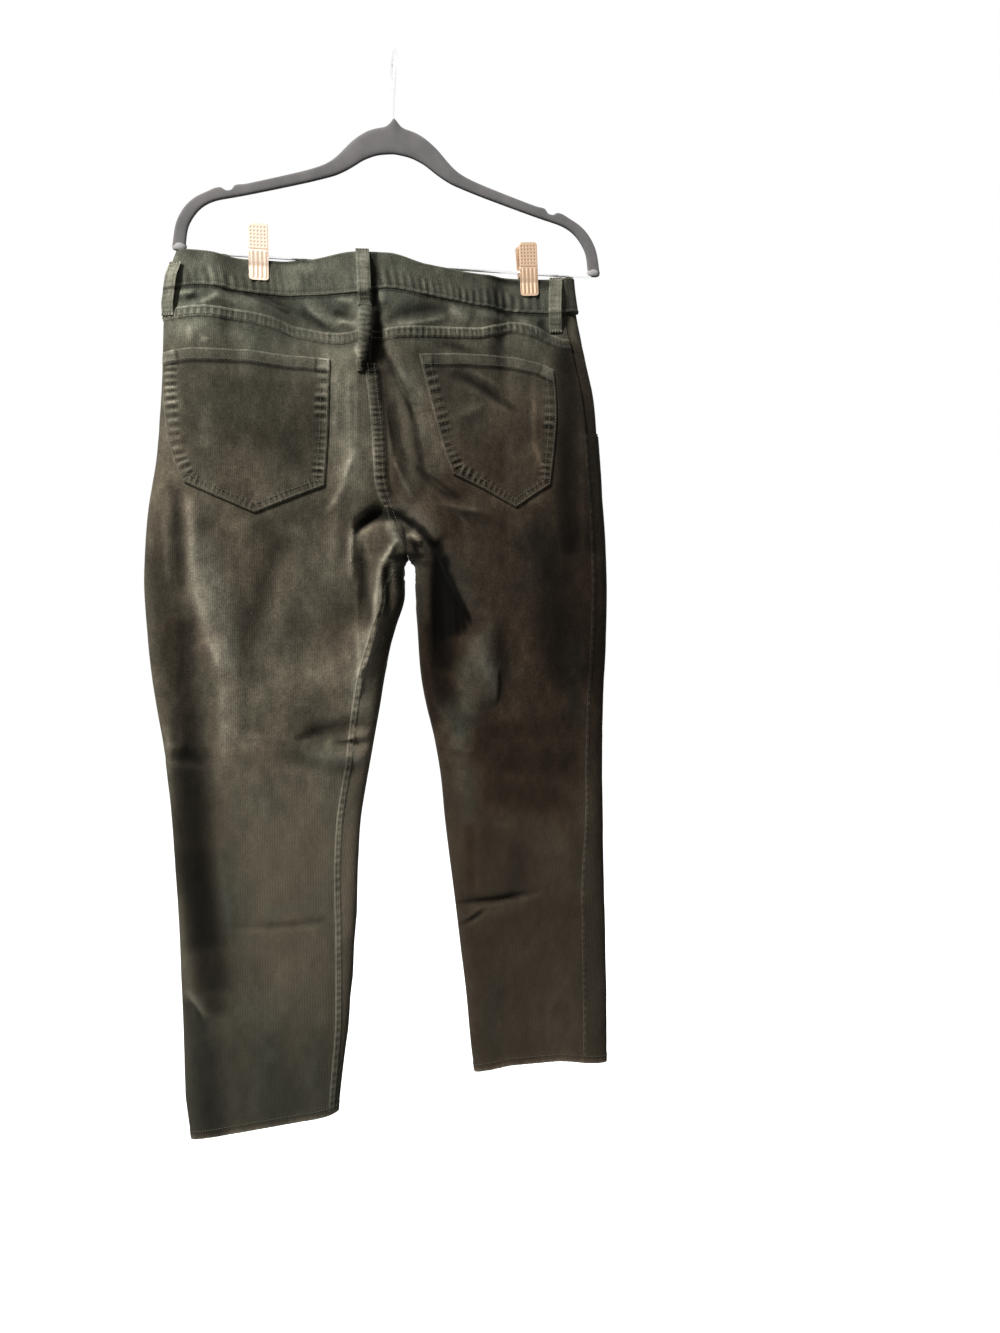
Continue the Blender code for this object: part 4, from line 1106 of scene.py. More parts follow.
# Tone and warmth of the cloth: the pile's own, with painted shade and painted highlights
def nap_and_painted_light(side, ring, drop, points):
    face = face_at(wrapped(ring))
    x = points[..., 0]
    tone, warm = smudges(x, drop, face)
    unfolded = x + 700 * (face < 0)
    part = NAMES[side]
    warm = warm + along(drop, GROUND_AND_PAINTED_LIGHT, f"{part}_warm") + 0.09 * drift(unfolded, drop, (26, 60), 23)
    # painted shade on the right leg and painted light on the left thigh and knee, with the pile's own tone
    tone = tone + along(drop, GROUND_AND_PAINTED_LIGHT, f"{part}_tone")
    calm = 1 - 0.60 * ease((drop - 480) / 160)
    blotches = 0.26 * drift(unfolded, drop, (24, 44), 21) + 0.22 * drift(unfolded, drop, (10, 18), 22)
    blotches = blotches + 0.16 * drift(unfolded, drop, (4.5, 7), 24)
    tone = tone + calm * blotches
    # the shadow in the ditch under the waistband and under the yoke's strip
    tone = tone - 0.9 * bell(drop - band_seam(x, ring) - 1.4, 1.4)
    under_strip = bell(drop - yoke_seam(x, ring) - 6.8, 1.1)
    tone = tone - 0.5 * np.where(face == BACK, under_strip, 0)
    # painted shadow in the ditch beside the seat seam, on the right seat
    if side == RIGHT:
        from_seat = x - along(drop, CENTRE, "seat")
        ditch = bell(from_seat - 8.2, 1.5) * ease((drop - 112) / 12) * ease((250 - drop) / 8)
        tone = tone - 1.1 * np.where(face == BACK, ditch, 0)
    # painted highlights where the cloth stands above its surroundings and painted shade where it sinks
    # below them
    relief = small_relief(side, ring, drop)
    around = small_relief(side, ring, drop - 5) + small_relief(side, ring, drop + 5)
    turn = 5 / np.maximum(np.abs(cloth_x(side, 0 * ring + 1, drop) - cloth_x(side, 0 * ring, drop)), 30)
    around = around + small_relief(side, ring - turn, drop) + small_relief(side, ring + turn, drop)
    painted_relief_light = np.clip(relief - around / 4, -1.6, 1.6)
    worn_hem = bell(hem_distance(side, ring, drop) - 2, 3.5)
    worn_hem = worn_hem * (0.8 + 0.6 * drift(unfolded, drop, (3.5, 20), 25))
    return tone + CREST_PAINTED_LIGHT * painted_relief_light + 0.55 * worn_hem, warm + 0.45 * worn_hem


print("smudges of nap", len(NAP_AND_PAINTED_LIGHT["tone"]))

# %% [markdown]
# ## Corduroy
#
# The cords are ridges of cut pile 1.8 mm apart, too fine to model over a whole garment, so they are a
# wave in the material's bump along the piece's UV map, with painted shade between them and a little
# painted light on their tops, and worn flat here and there. Pile scatters light at a grazing angle, which
# is the sheen. The material is one node tree, because every piece was cut from the same bolt.

# %% The corduroy material
CORD_PITCH = 1.8  # millimetres from one cord to the next


def new_material(name):
    made = bpy.data.materials.new(name)
    made.use_nodes = True
    return made, made.node_tree


def coat(tree, inputs):
    """Set inputs of a material's shader."""
    feed(tree, tree.nodes["Principled BSDF"], inputs)


def place_in(tree):
    return add(tree, "ShaderNodeTexCoord", output="Object")


def attribute(tree, name):
    return add(tree, "ShaderNodeAttribute", output="Fac", attribute_name=name)


def calculate(tree, operation, *values):
    return add(tree, "ShaderNodeMath", enumerate(values), operation=operation)


def mix_colour(tree, share, one, two, how="MIX"):
    one, two = ((*value, 1) if isinstance(value, tuple) else value for value in (one, two))
    inputs = {"Factor": share, 6: one, 7: two}
    return add(tree, "ShaderNodeMix", inputs, 2, data_type="RGBA", blend_type=how)


def noise(tree, vector, scale, detail=3.0, rough=0.5):
    inputs = {"Vector": vector, "Scale": scale, "Detail": detail, "Roughness": rough}
    return add(tree, "ShaderNodeTexNoise", inputs, "Fac")


def spread(tree, value, low, high, to_low=0.0, to_high=1.0):
    return add(tree, "ShaderNodeMapRange", enumerate((value, low, high, to_low, to_high)), "Result")


def bumped(tree, height, strength, distance, under=None):
    inputs = {"Height": height, "Strength": strength, "Distance": distance, "Normal": under}
    return add(tree, "ShaderNodeBump", inputs, "Normal")


def corduroy_material(name, green, brown, worn_pile):
    made, tree = new_material(name)
    grain = add(tree, "ShaderNodeUVMap", output="UV", uv_map="cloth")
    over_cords = add(tree, "ShaderNodeSeparateXYZ", {0: grain}, "X")
    stretched = add(tree, "ShaderNodeMapping", {"Vector": grain, "Scale": (1, 0.5, 1)})
    # the cords, each swaying a hair as woven ones do
    sway = noise(tree, stretched, 60.0, 2.0)
    across = calculate(tree, "MULTIPLY_ADD", sway, 0.0011, over_cords)
    turn = calculate(tree, "MULTIPLY", across, 2 * np.pi / (CORD_PITCH * MM))
    cord = spread(tree, calculate(tree, "SINE", turn), -1, 1)
    rounded_cord = calculate(tree, "POWER", cord, 0.6)
    # flecks of pile, streaks down the leg, and clouds
    fleck = noise(tree, grain, 900.0, 2.0, 0.7)
    streak = noise(tree, stretched, 160.0, 4.0, 0.65)
    cloud = noise(tree, stretched, 26.0, 3.0, 0.55)
    grit = noise(tree, grain, 330.0, 2.0, 0.6)
    ground = mix_colour(tree, attribute(tree, "warm"), green, brown)
    wear = calculate(tree, "MULTIPLY_ADD", fleck, 0.30, attribute(tree, "worn"))
    rubbed = mix_colour(tree, spread(tree, wear, 0.16, 1.0), ground, worn_pile)
    clouds = spread(tree, cloud, 0.3, 0.7, -0.12, 0.12)
    light = calculate(tree, "ADD", attribute(tree, "tone"), clouds)
    texture = spread(tree, streak, 0.25, 0.75, -0.22, 0.22)
    texture = calculate(tree, "ADD", texture, spread(tree, fleck, 0.25, 0.75, -0.38, 0.38))
    texture = calculate(tree, "ADD", texture, spread(tree, grit, 0.25, 0.75, -0.26, 0.26))
    # the pile is rubbed smooth from the knees down
    height = add(tree, "ShaderNodeSeparateXYZ", {0: place_in(tree)}, "Z")
    ruffled = spread(tree, height, -0.85, -0.66, 0.35, 1.0)
    light = calculate(tree, "MULTIPLY_ADD", texture, ruffled, light)
    # painted shade between the cords and a little painted light on their tops
    light = calculate(tree, "ADD", light, spread(tree, rounded_cord, 0, 1, -0.10, 0.04))
    strength = calculate(tree, "EXPONENT", light)
    grey = add(tree, "ShaderNodeCombineColor", enumerate((strength, strength, strength)))
    # relief: cords first, then the pile's own roughness
    ribs = bumped(tree, rounded_cord, 0.30, 0.0006)
    pile = calculate(tree, "MULTIPLY_ADD", streak, 0.4, fleck)
    coat(tree, {
        "Base Color": mix_colour(tree, 1.0, rubbed, grey, "MULTIPLY"),
        "Roughness": 0.92,
        "Specular IOR Level": 0.05,
        "Sheen Weight": 0.10,
        "Sheen Roughness": 0.45,
        "Sheen Tint": (0.80, 0.82, 0.72, 1),
        "Normal": bumped(tree, pile, 0.45, 0.0006, ribs),
    })
    return made


OLIVE, BROWN, RUBBED = (0.0635, 0.067, 0.050), (0.088, 0.058, 0.037), (0.20, 0.187, 0.144)
corduroy = corduroy_material("corduroy_pile", OLIVE, BROWN, RUBBED)
facing_cloth = corduroy_material("facing_cloth", OLIVE, (0.105, 0.060, 0.034), (0.20, 0.16, 0.11))

# %% [markdown]
# ## The main panels
#
# Each leg has a back and a front panel, cut from the waist to the hem. They meet at the side seam, the
# centre seam and the inside leg seam, where the solids keep 0.3 mm apart. A grid of points between the
# seams is laid on the cloth; it is finer above the crotch, where the small creases are. The front
# panel's edge follows the curved mouth of the front pocket instead of the side seam.

# %% Where panels end


def mouth_ring(side, drop, margin=0.0):
    """The curved edge of a front pocket's mouth, which runs into the side seam at its bottom."""
    band = along(CLIP_X[side], WAIST, "front_seam")
    deep = SCOOP_DEEP + margin - band
    from_seam = (SCOOP_WIDE + margin) * np.sqrt(np.clip(1 - ((drop - band) / deep) ** 2, 0, 1))
    return ring_from_outer(side, along(drop, OUTSEAM, NAMES[side]) - from_seam, drop)


def row_shares(length, step):
    return np.linspace(0, 1, int(length / step) + 1)


def unrolled(ring):
    """A ring value as a share of the width, which carries on past the inner edge."""
    share = share_across(ring)
    return np.sign(ring) * np.where(np.abs(ring) > 1, 2 - share, share)


def rolled(share):
    """The ring value at an unrolled share of the width."""
    size = np.abs(share)
    ring = np.arccos(np.clip(1 - 2 * np.where(size > 1, 2 - size, size), -1, 1)) / np.pi
    return np.sign(share) * np.where(size > 1, 2 - ring, ring)


def panel_grid(side, toward, top, bottom, torso, legs, column_count):
    """Ring and drop at each point of a panel, between its seams."""
    even = np.linspace(0, 1, column_count + 1)[None, :]
    across = (even + np.arccos(1 - 2 * even) / np.pi) / 2
    rows = np.concatenate([torso, legs])[:, None]
    in_leg = (np.arange(len(rows)) >= len(torso))[:, None]
    drop = np.where(in_leg, CROTCH + 640 * rows, 60 + (CROTCH - 61) * rows) + 0 * across
    for _ in range(6):
        start, end = seam_rings(side, toward, drop[:, :1], drop[:, -1:])
        if toward == FRONT:
            start = np.where(drop[:, :1] < SCOOP_DEEP, mouth_ring(side, drop[:, :1]), start)
        ring = start + (toward - start) * across
        ring = rolled(unrolled(ring) + (unrolled(end) - toward) * across**4)
        x = cloth_x(side, ring, drop)
        high = top(x, ring) + SEAM
        low = bottom(x, ring) - SEAM
        hem = along(share_across(ring), HEM, NAMES[side])
        drop = np.where(in_leg, CROTCH + (hem - CROTCH) * rows, high + (low - high) * rows)
    return ring, drop


# %% Back and front panels
TORSO_STEP, LEG_STEP, FRONT_STEP = 1.9, 3.4, 3.8  # millimetres between rows
BACK_COLUMNS, FRONT_COLUMNS, YOKE_COLUMNS = 124, 64, 116
HEM_DEEP, HEM_RISE = 11.0, 0.45  # the turned-up hem makes a step in the cloth
SHOWN = {}  # each sheet, by its name, with its outer points and its rings and drops


def crest_wear(side, ring, drop):
    """Pile is rubbed where a fold stands proud."""
    ring = wrapped(ring)
    face = face_at(ring)
    x = cloth_x(side, ring, drop)
    return np.clip((crease_lift(x, drop, face) + fold_rise(x, drop, face)) / 11, 0, 0.30)


def hem_distance(side, ring, drop):
    return along(share_across(wrapped(ring)), HEM, NAMES[side]) - drop


GRAIN_LINE = {LEFT: (-131.0, -152.0), RIGHT: (92.0, 178.0)}  # x at the waist and at the hem


def grain_across(side, ring, drop):
    """How far each point lies from the panel's straight grain line, along the smooth cloth."""
    run = length_along(cloth_point(side, ring, drop))
    turn = 1 if ring[0, -1] > ring[0, 0] else -1
    level = drop[:, drop.shape[1] // 2]
    waist_x, hem_x = GRAIN_LINE[side]
    mark = ring_at_x(side, waist_x + (hem_x - waist_x) * (level - 60) / 880, level, turn)
    middle = [np.interp(turn * at, turn * row, row_run) for at, row, row_run in zip(mark, ring, run)]
    return run - np.array(middle)[:, None]


def cloth_piece(name, node, side, ring, drop, out=0.0, thick=CLOTH, worn=0.0, looks=(corduroy, "corduroy")):
    """One shell on the garment's surface, with its pile's tone and painted light and shade, in a solid's
    place.
    """
    finish, slot = looks
    ring, drop = np.broadcast_arrays(ring, drop)
    from_hem = hem_distance(side, ring, drop)
    hem = HEM_RISE * ease((HEM_DEEP + 0.6 - from_hem) / 1.6)
    hem = hem + 0.3 * ripple(cloth_x(side, ring, drop) + drop, 8, 31) * np.exp(-from_hem / 6)
    face, normal = lay(side, ring, drop, out + hem)
    tone, warm = nap_and_painted_light(side, ring, drop, face)
    rubbed = worn + crest_wear(side, ring, drop) + 0.55 * bell(from_hem, 1.6, 1)
    grain = np.stack([grain_across(side, ring, drop), face[..., 2]], -1)
    piece = cloth_shell(name, face, face - normal * thick, finish, grain, rubbed, tone, warm)
    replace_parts(piece, node)
    SHOWN[name] = piece, face, (ring, drop)


LEG_LONG = 650.0  # about how far a leg reaches below the crotch
torso_rows = 1 - (1 - row_shares(CROTCH - 70, TORSO_STEP)[:-1]) ** 1.1
leg_rows = row_shares(LEG_LONG, LEG_STEP)
front_torso = row_shares(CROTCH - 50, 2.6)[:-1]
front_legs = row_shares(LEG_LONG, FRONT_STEP)
for panel_side, part in NAMES.items():
    grid = panel_grid(panel_side, BACK, yoke_seam, crotch_line, torso_rows, leg_rows, BACK_COLUMNS)
    cloth_piece(f"back_panel_{part}", f"back_leg_{part}", panel_side, *grid)
    grid = panel_grid(panel_side, FRONT, band_seam, crotch_line, front_torso, front_legs, FRONT_COLUMNS)
    cloth_piece(f"front_panel_{part}", f"front_leg_{part}", panel_side, *grid)

# %% Yokes
yoke_rows = np.linspace(0, 1, 30)
for panel_side, part in NAMES.items():
    grid = panel_grid(panel_side, BACK, band_seam, yoke_seam, yoke_rows, np.array([]), YOKE_COLUMNS)
    cloth_piece(f"yoke_{part}", f"back_yoke_{part}", panel_side, *grid)

# %% Cloth that shows in the front pockets' mouths
facing_rows = np.linspace(0, 1, 70)[:, None]
facing_columns = np.linspace(0, 1, 40)[None, :]
for panel_side, part in NAMES.items():
    band = along(CLIP_X[panel_side], WAIST, "front_seam")
    drop = band + (SCOOP_DEEP + FACING_MARGIN - 1 - band) * facing_rows + 0 * facing_columns
    start, _ = seam_rings(panel_side, FRONT, drop[:, :1], drop[:, -1:])
    end = np.minimum(mouth_ring(panel_side, drop[:, :1], FACING_MARGIN), start - 0.01)
    ring = start + (end - start) * facing_columns
    drop = drop + (band_seam(cloth_x(panel_side, ring, drop), ring) - band) * (1 - facing_rows) ** 2
    wall = -CLOTH - GAP, FACING, 0.1, (facing_cloth, "facing_cloth")
    cloth_piece(f"facing_{part}", f"pocket_facing_{part}", panel_side, ring, drop, *wall)

# %% Fly placket
fly_rows = np.linspace(0, 1, 90)[:, None]
fly_columns = np.linspace(0, 1, 22)[None, :]
fly_middle = CENTRE["fly"][0]
fly_drop = 63 + (FLY_DEEP - 0.5 - 63) * fly_rows + 0 * fly_columns
turn_in = np.clip((fly_drop - (FLY_DEEP - FLY_WIDE)) / FLY_WIDE, 0, 1)
fly_width = FLY_WIDE * np.sqrt(1 - turn_in**2) + 0.4
fly_ring = ring_at_x(LEFT, fly_middle - SEAM - fly_width * (1 - fly_columns), fly_drop, FRONT)
fly_worn = 0.12 * (1 - fly_columns)
cloth_piece("fly_edge", "fly_placket", LEFT, fly_ring, fly_drop, GAP + CLOTH, CLOTH, fly_worn)
print("panels", ", ".join(SHOWN))

# %% [markdown]
# ## Felled seams
#
# The yoke, the seat and the inside legs are felled: one edge is folded over the other and both are sewn
# down, which leaves a raised strip a finger's width wide. The thread is shorter than the cloth after
# washing, so the strip puckers into small rungs, and their crests lose their dye. Each strip is a
# narrow shell laid on the panels, its edges sunk in them.

# %% A strip along a seam


def raised(across, wide, rise):
    """A flat top with soft edges."""
    return rise * (1 - np.abs(2 * across / wide) ** 5)


def seam_strip(name, face, normal, across, run, wide, rise, pitch, pucker, tone_warm, seed, shade=0.55):
    """A strip on its base points: across and run are each point's place over and along the seam."""
    wave = ripple(run, pitch, seed)
    hump = 1 - (2 * across / wide) ** 2
    height = raised(across, wide, rise) + pucker * wave * hump
    outer = face + normal * height[..., None]
    inner = face - normal * 0.4
    grain = np.stack([outer[..., 0], outer[..., 2]], -1)
    edge = bell(np.abs(across) - wide * 0.44, wide * 0.10)
    worn = 0.08 + 0.26 * np.clip(wave, 0, 1) * hump + 0.26 * edge
    # painted shade in the hollows between the puckers
    tone = tone_warm[0] + shade * np.minimum(wave, 0) * hump
    piece = cloth_shell(name, outer, inner, corduroy, grain, worn, tone, tone_warm[1])
    return piece, outer


STITCHES = {}  # rows of stitching: for each group, lists of points and of normals


def sew(group, points, normals, lift=0.15):
    """Note a row of stitching along some points."""
    STITCHES.setdefault(group, []).append((points + normals * lift, normals))


# %% Seat seam
SEAT_WIDE, SEAT_RISE, SEAT_PITCH = 13.0, 1.4, 6.0
SEAM_COLUMNS = 13


def rings_beside_seat(side, distance, drop):
    """Rings at lengths along the cloth from the centre seam, a row of them for each drop."""
    step_back = np.linspace(0, 0.4, 60)
    ring = 1 - step_back[None, :] + 0 * drop[:, None]
    run = length_along(cloth_point(side, ring, drop[:, None] + 0 * ring, split=0))
    return np.array([np.interp(*row) for row in zip(distance, run, ring)])


def seat_points(offset, drop):
    """Points over the seat seam: left of it where offset is below zero."""
    found = {}
    for side in (LEFT, RIGHT):
        ring = rings_beside_seat(side, np.abs(offset), drop)
        level = drop[:, None] + 0 * ring
        face, normal = lay(side, ring, level)
        tone, warm = nap_and_painted_light(side, ring, level, face)
        found[side] = face, normal, tone[..., None], warm[..., None]
    on_left = (offset < 0)[..., None]
    face, normal, tone, warm = (np.where(on_left, *pair) for pair in zip(found[LEFT], found[RIGHT]))
    return face, normal, (tone[..., 0], warm[..., 0])


seat_drop = np.arange(113, CROTCH - 36, 1.1)
run = seat_drop[:, None] + np.zeros(SEAM_COLUMNS)
across = np.linspace(-SEAT_WIDE / 2, SEAT_WIDE / 2, SEAM_COLUMNS) + 0 * run
face, normal, tones = seat_points(across, seat_drop)
tucked = ease((seat_drop - 250) / 18)[:, None]
face = face - normal * (1.6 * tucked)[..., None]
seat_seam, outer = seam_strip(
    "seat_seam", face, normal, across, run, SEAT_WIDE, SEAT_RISE, SEAT_PITCH, 0.55, tones, 41
)
for column in (3, 9):
    sew("back_stitching", outer[:, column], normal[:, column])

# %% Gathers under the middle belt loop
# The seam's layers are bunched up here, and bulge past the seam to the left.
GATHER = columns(
    "drop x half",
    (49, -33, 6), (80, -33.5, 6.5), (100, -35.5, 7), (115, -38.5, 5.5),
    (121, -40, 2.5),
)
gather_drop = np.arange(49, 121.5, 0.9)
from_seat = along(gather_drop, GATHER, "x") - along(gather_drop, CENTRE, "seat")
run = gather_drop[:, None] + np.zeros(SEAM_COLUMNS)
across = np.linspace(-1, 1, SEAM_COLUMNS) * along(gather_drop, GATHER, "half")[:, None]
face, normal, tones = seat_points(from_seat[:, None] + across, gather_drop)
slanted = run - 0.35 * across + 3 * drift(run, across, (9, 9), 44)
# painted shade over the right side of the bulge, away from the lamp
tone = tones[0] - 0.5 * ease((across + 1) / 5)
gathers, outer = seam_strip(
    "seam_gathers", face, normal, across, slanted, 14.5, 2.2, 5.2, 0.4, (tone, tones[1]), 43, 0.2
)
sew("back_stitching", outer[:, 6], normal[:, 6])

# %% Yoke seams
YOKE_STRIP, YOKE_RISE = 12.0, 1.2
yoke_seams = {}
for panel_side, part in NAMES.items():
    ring = SHOWN[f"yoke_{part}"][2][0][-1]
    ring = np.interp(np.linspace(0, 1, 230), np.linspace(0, 1, len(ring)), ring)[None, :]
    offset = np.linspace(-YOKE_STRIP / 2, YOKE_STRIP / 2, SEAM_COLUMNS)[:, None]
    level = 80.0 + 0 * ring * offset
    for _ in range(4):
        level = yoke_seam(cloth_x(panel_side, ring, level), ring) + offset
    face, normal = lay(panel_side, ring + 0 * offset, level)
    run = length_along(face[SEAM_COLUMNS // 2])[None, :] + 0 * offset
    tones = nap_and_painted_light(panel_side, ring + 0 * offset, level, face)
    yoke_seams[panel_side], outer = seam_strip(
        f"yoke_seam_{part}", face, normal, offset + 0 * ring, run, YOKE_STRIP, YOKE_RISE, 5.6, 0.30,
        tones, 43
    )
    for row in (3, 9):
        sew("back_stitching", outer[row], normal[row])

# %% Inside leg seams and side seams
INSEAM_WIDE, OUTSEAM_WIDE = 8.0, 4.5
INSEAM_SHOWS = {LEFT: CROTCH + 26, RIGHT: CROTCH + 1.5}  # the left one comes out from under folds
leg_seams = {}
for panel_side, part in NAMES.items():
    hem = HEM[part]
    for kind, wide, top_drop, rise, pucker, worn_tone in (
        ("inseam", INSEAM_WIDE, INSEAM_SHOWS[panel_side], 0.7, 0.22, 0.10),
        ("outseam", OUTSEAM_WIDE, SCOOP_DEEP, 0.30, 0.08, 0.0),
    ):
        drop = np.arange(top_drop, hem.min() - 0.5, 2.2)[:, None]
        start, end = seam_rings(panel_side, BACK, drop, drop)
        seam_ring = end if kind == "inseam" else start
        offset = np.linspace(-wide / 2, wide / 2, 9)[None, :]
        ring = seam_ring + offset / speed(panel_side, seam_ring, drop)
        level = drop + 0 * ring
        face, normal = lay(panel_side, ring, level)
        tone, warm = nap_and_painted_light(panel_side, ring, level, face)
        run = drop + 0 * ring
        leg_seams[kind, panel_side], outer = seam_strip(
            f"{kind}_{part}", face, normal, offset + 0 * ring, run, wide, rise, 9.0, pucker,
            (tone + worn_tone, warm), 47
        )
        if kind == "inseam":
            for column in (2, 6):
                sew("leg_stitching", outer[:, column], normal[:, column])
print("felled seams", 3 + len(leg_seams))

# %% [markdown]
# ## Back pockets
#
# A patch pocket is one piece of cloth with its edges turned under: a folded hem across the opening, two
# long sides and a point. It could be cut from the panel's grid, but its stitched border needs points
# that follow its own outline, so its grid is stretched between its four edges (a Coons patch). The
# puckers are found from each point's distance to the outline and its place along it.

# %% Pocket outlines
POCKET_EDGES = {
    LEFT: {
        "top": ((-237.5, 108), (-210, 103.5), (-154, 102), (-108, 107), (-70, 110)),
        "outer": ((-237.5, 108), (-238.5, 146), (-235, 192), (-229, 220), (-220, 239)),
        "inner": ((-70, 110), (-71, 142), (-73, 189), (-75.5, 221), (-77, 240)),
        "point": ((-220, 239), (-186, 254), (-150, 269.5), (-114, 254.5), (-77, 240)),
    },
    RIGHT: {
        "top": ((173, 109), (155, 102), (128, 97.5), (68, 98), (22, 101)),
        "outer": ((173, 109), (175.5, 134), (175.5, 160), (172.5, 198), (169, 234)),
        "inner": ((22, 101), (31, 137), (40, 170), (49, 200), (59, 225)),
        "point": ((169, 234), (150, 246), (130, 260), (94, 241), (59, 225)),
    },
}
POCKET_COLUMNS, POCKET_ROWS = 124, 118
LADDER_WIDE, LADDER_PITCH, LADDER_RISE = 14.5, 8.0, 0.95
MOUTH_HEM, MOUTH_GAPE = 12.5, 1.3
TACK = 13.0  # width of the bar tack on each corner of a pocket
SOFTENING = 0.012  # share of an edge's length over which its corners are rounded off


def read_off(points, run, at):
    """The points at some lengths of a line."""
    return np.stack([np.interp(at, run, values) for values in points.T], -1)


def bend_line(corners, at):
    """Points along a line through some corners, its corners rounded off a little."""
    corners = np.array(corners, float)
    knots = length_along(corners)
    knots = knots / knots[-1]
    total = 0
    for shift in (-SOFTENING, 0, SOFTENING):
        moved = np.clip(at + shift * np.sin(np.pi * at), 0, 1)
        total = total + read_off(corners, knots, moved)
    return total / 3


def coons_patch(edges, columns_at, rows_at):
    """A grid of (x, drop) stretched between four edges."""
    top, point = (bend_line(edges[key], columns_at)[None, :] for key in ("top", "point"))
    outer, inner = (bend_line(edges[key], rows_at)[:, None] for key in ("outer", "inner"))
    u, v = columns_at[None, :, None], rows_at[:, None, None]
    corners = (1 - u) * (1 - v) * top[:, :1] + u * (1 - v) * top[:, -1:]
    corners = corners + (1 - u) * v * point[:, :1] + u * v * point[:, -1:]
    return (1 - v) * top + v * point + (1 - u) * outer + u * inner - corners


def nearest_on(line, points):
    """Distance of each point to a line of samples, and its place along the line."""
    run = length_along(line)
    flat = points.reshape(-1, 2)
    apart, place_on = np.empty(len(flat)), np.empty(len(flat))
    for start in range(0, len(flat), 2000):
        gap = np.linalg.norm(flat[start:start + 2000, None] - line[None], axis=-1)
        apart[start:start + 2000] = gap.min(1)
        place_on[start:start + 2000] = run[gap.argmin(1)]
    return apart.reshape(points.shape[:2]), place_on.reshape(points.shape[:2])


def crowd_to_ends(count, share=0.35):
    """Values from 0 to 1, closer together near both ends."""
    even = np.linspace(0, 1, count + 1)
    return even * (1 - share) + share * (1 - np.cos(np.pi * even)) / 2


# %% Sew the pockets on


def sew_on_pocket(side, line, out):
    """A row of stitching along a line of (x, drop) on a pocket."""
    ring = ring_at_x(side, line[:, 0], line[:, 1], BACK)
    on_face, normal = lay(side, ring, line[:, 1], GAP + POCKET + out)
    sew("pocket_stitching", on_face, normal)


for panel_side, edges in POCKET_EDGES.items():
    part = NAMES[panel_side]
    flat = coons_patch(edges, crowd_to_ends(POCKET_COLUMNS), crowd_to_ends(POCKET_ROWS))
    x, drop = flat[..., 0], flat[..., 1]
    fine = np.linspace(0, 1, 300)
    sides = np.concatenate([
        bend_line(edges["outer"], fine),
        bend_line(edges["point"], fine),
        bend_line(edges["inner"], fine)[::-1],
    ])
    from_side, run = nearest_on(sides, flat)
    from_top, run_top = nearest_on(bend_line(edges["top"], fine), flat)
    lower = ease((drop - 222) / 16)
    hump = np.sin(np.pi * np.clip((from_side - 1.2) / (LADDER_WIDE * (1 - 0.25 * lower)), 0, 1)) ** 0.7
    rungs = np.where(lower > 0.5, ripple(run, 5.4, 53), ripple(run, LADDER_PITCH, 51 + panel_side))
    below_hem = ease((from_top - MOUTH_HEM) / 2)
    uneven = np.clip(0.8 + 0.8 * drift(run, from_side, (15, 20), 57 + panel_side), 0.25, 1.35)
    ladder = rungs * hump * uneven * (1 - 0.55 * lower) * (0.25 + 0.75 * below_hem)
    hem = 0.55 * ease((MOUTH_HEM - from_top) / 1.2)
    rim = -1.1 * bell(from_side, 0.55, 1) - 0.6 * bell(from_top, 0.5, 1)
    gape = MOUTH_GAPE * bell(from_top, 22) * np.clip(np.sin(np.pi * run_top / run_top.max()), 0, 1)
    rib = 0.35 * bell(from_side - 1.6, 1.0)
    ring = ring_at_x(panel_side, x, drop, BACK)
    height = GAP + POCKET + gape + LADDER_RISE * ladder + hem + rim + rib
    face, _ = lay(panel_side, ring, drop, height)
    wrong_side, _ = lay(panel_side, ring, drop, 0.15 + gape * 0.9)
    tone, warm = nap_and_painted_light(panel_side, ring, drop, face)
    worn = 0.55 * np.clip(ladder, 0, 1) + 0.30 * bell(from_side, 1.3, 1) + 0.35 * bell(from_top, 1.4, 1)
    worn = worn + 0.12 * (from_top < MOUTH_HEM)
    to_corner = np.minimum(run_top, run_top.max() - run_top)
    tack = ease((TACK - to_corner) / 1.5) * ease((MOUTH_HEM + 1 - from_top) / 1.5)
    worn = worn + 0.22 * tack
    # painted shade in the hollows between the rungs, a painted shadow under the hem's edge, and painted
    # shade beside the bar tacks
    tone = tone + 1.3 * np.minimum(ladder, 0)
    tone = tone - 1.1 * bell(from_top - MOUTH_HEM - 1.2, 1.5) * ease(from_side / 3)
    beside_tack = bell(to_corner - TACK - 1.2, 1.2) * (from_top < MOUTH_HEM) * (tack < 0.5)
    tone = tone - 0.7 * beside_tack
    grain = np.stack([x - x.mean(), -drop], -1)
    piece = cloth_shell(f"pocket_{part}", face, wrong_side, corduroy, grain, worn, tone, warm)
    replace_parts(piece, f"back_pocket_{part}")
    SHOWN[f"pocket_{part}"] = piece, face
    print(piece.name, len(piece.data.vertices), "points")
    along_side = unit(np.gradient(sides, axis=0))
    inward = np.stack([-along_side[:, 1], along_side[:, 0]], -1)
    to_middle = flat[POCKET_ROWS // 2, POCKET_COLUMNS // 2] - sides
    inward = inward * np.sign(np.sum(inward * to_middle, 1))[:, None]
    smooth = np.ones(15) / 15
    for inset in (2.2, 9.0):
        line = sides + inward * inset
        line = np.stack([np.convolve(values, smooth, "valid") for values in line.T], -1)
        sew_on_pocket(panel_side, line, 0.35)
    for inset in (2.0, MOUTH_HEM - 1.8):
        at = np.linspace(0.02, 0.98, 120)
        line = bend_line(edges["top"], at) + (0, inset)
        sew_on_pocket(panel_side, line, 0.5 + MOUTH_GAPE * bell(inset, 22) * np.sin(np.pi * at))

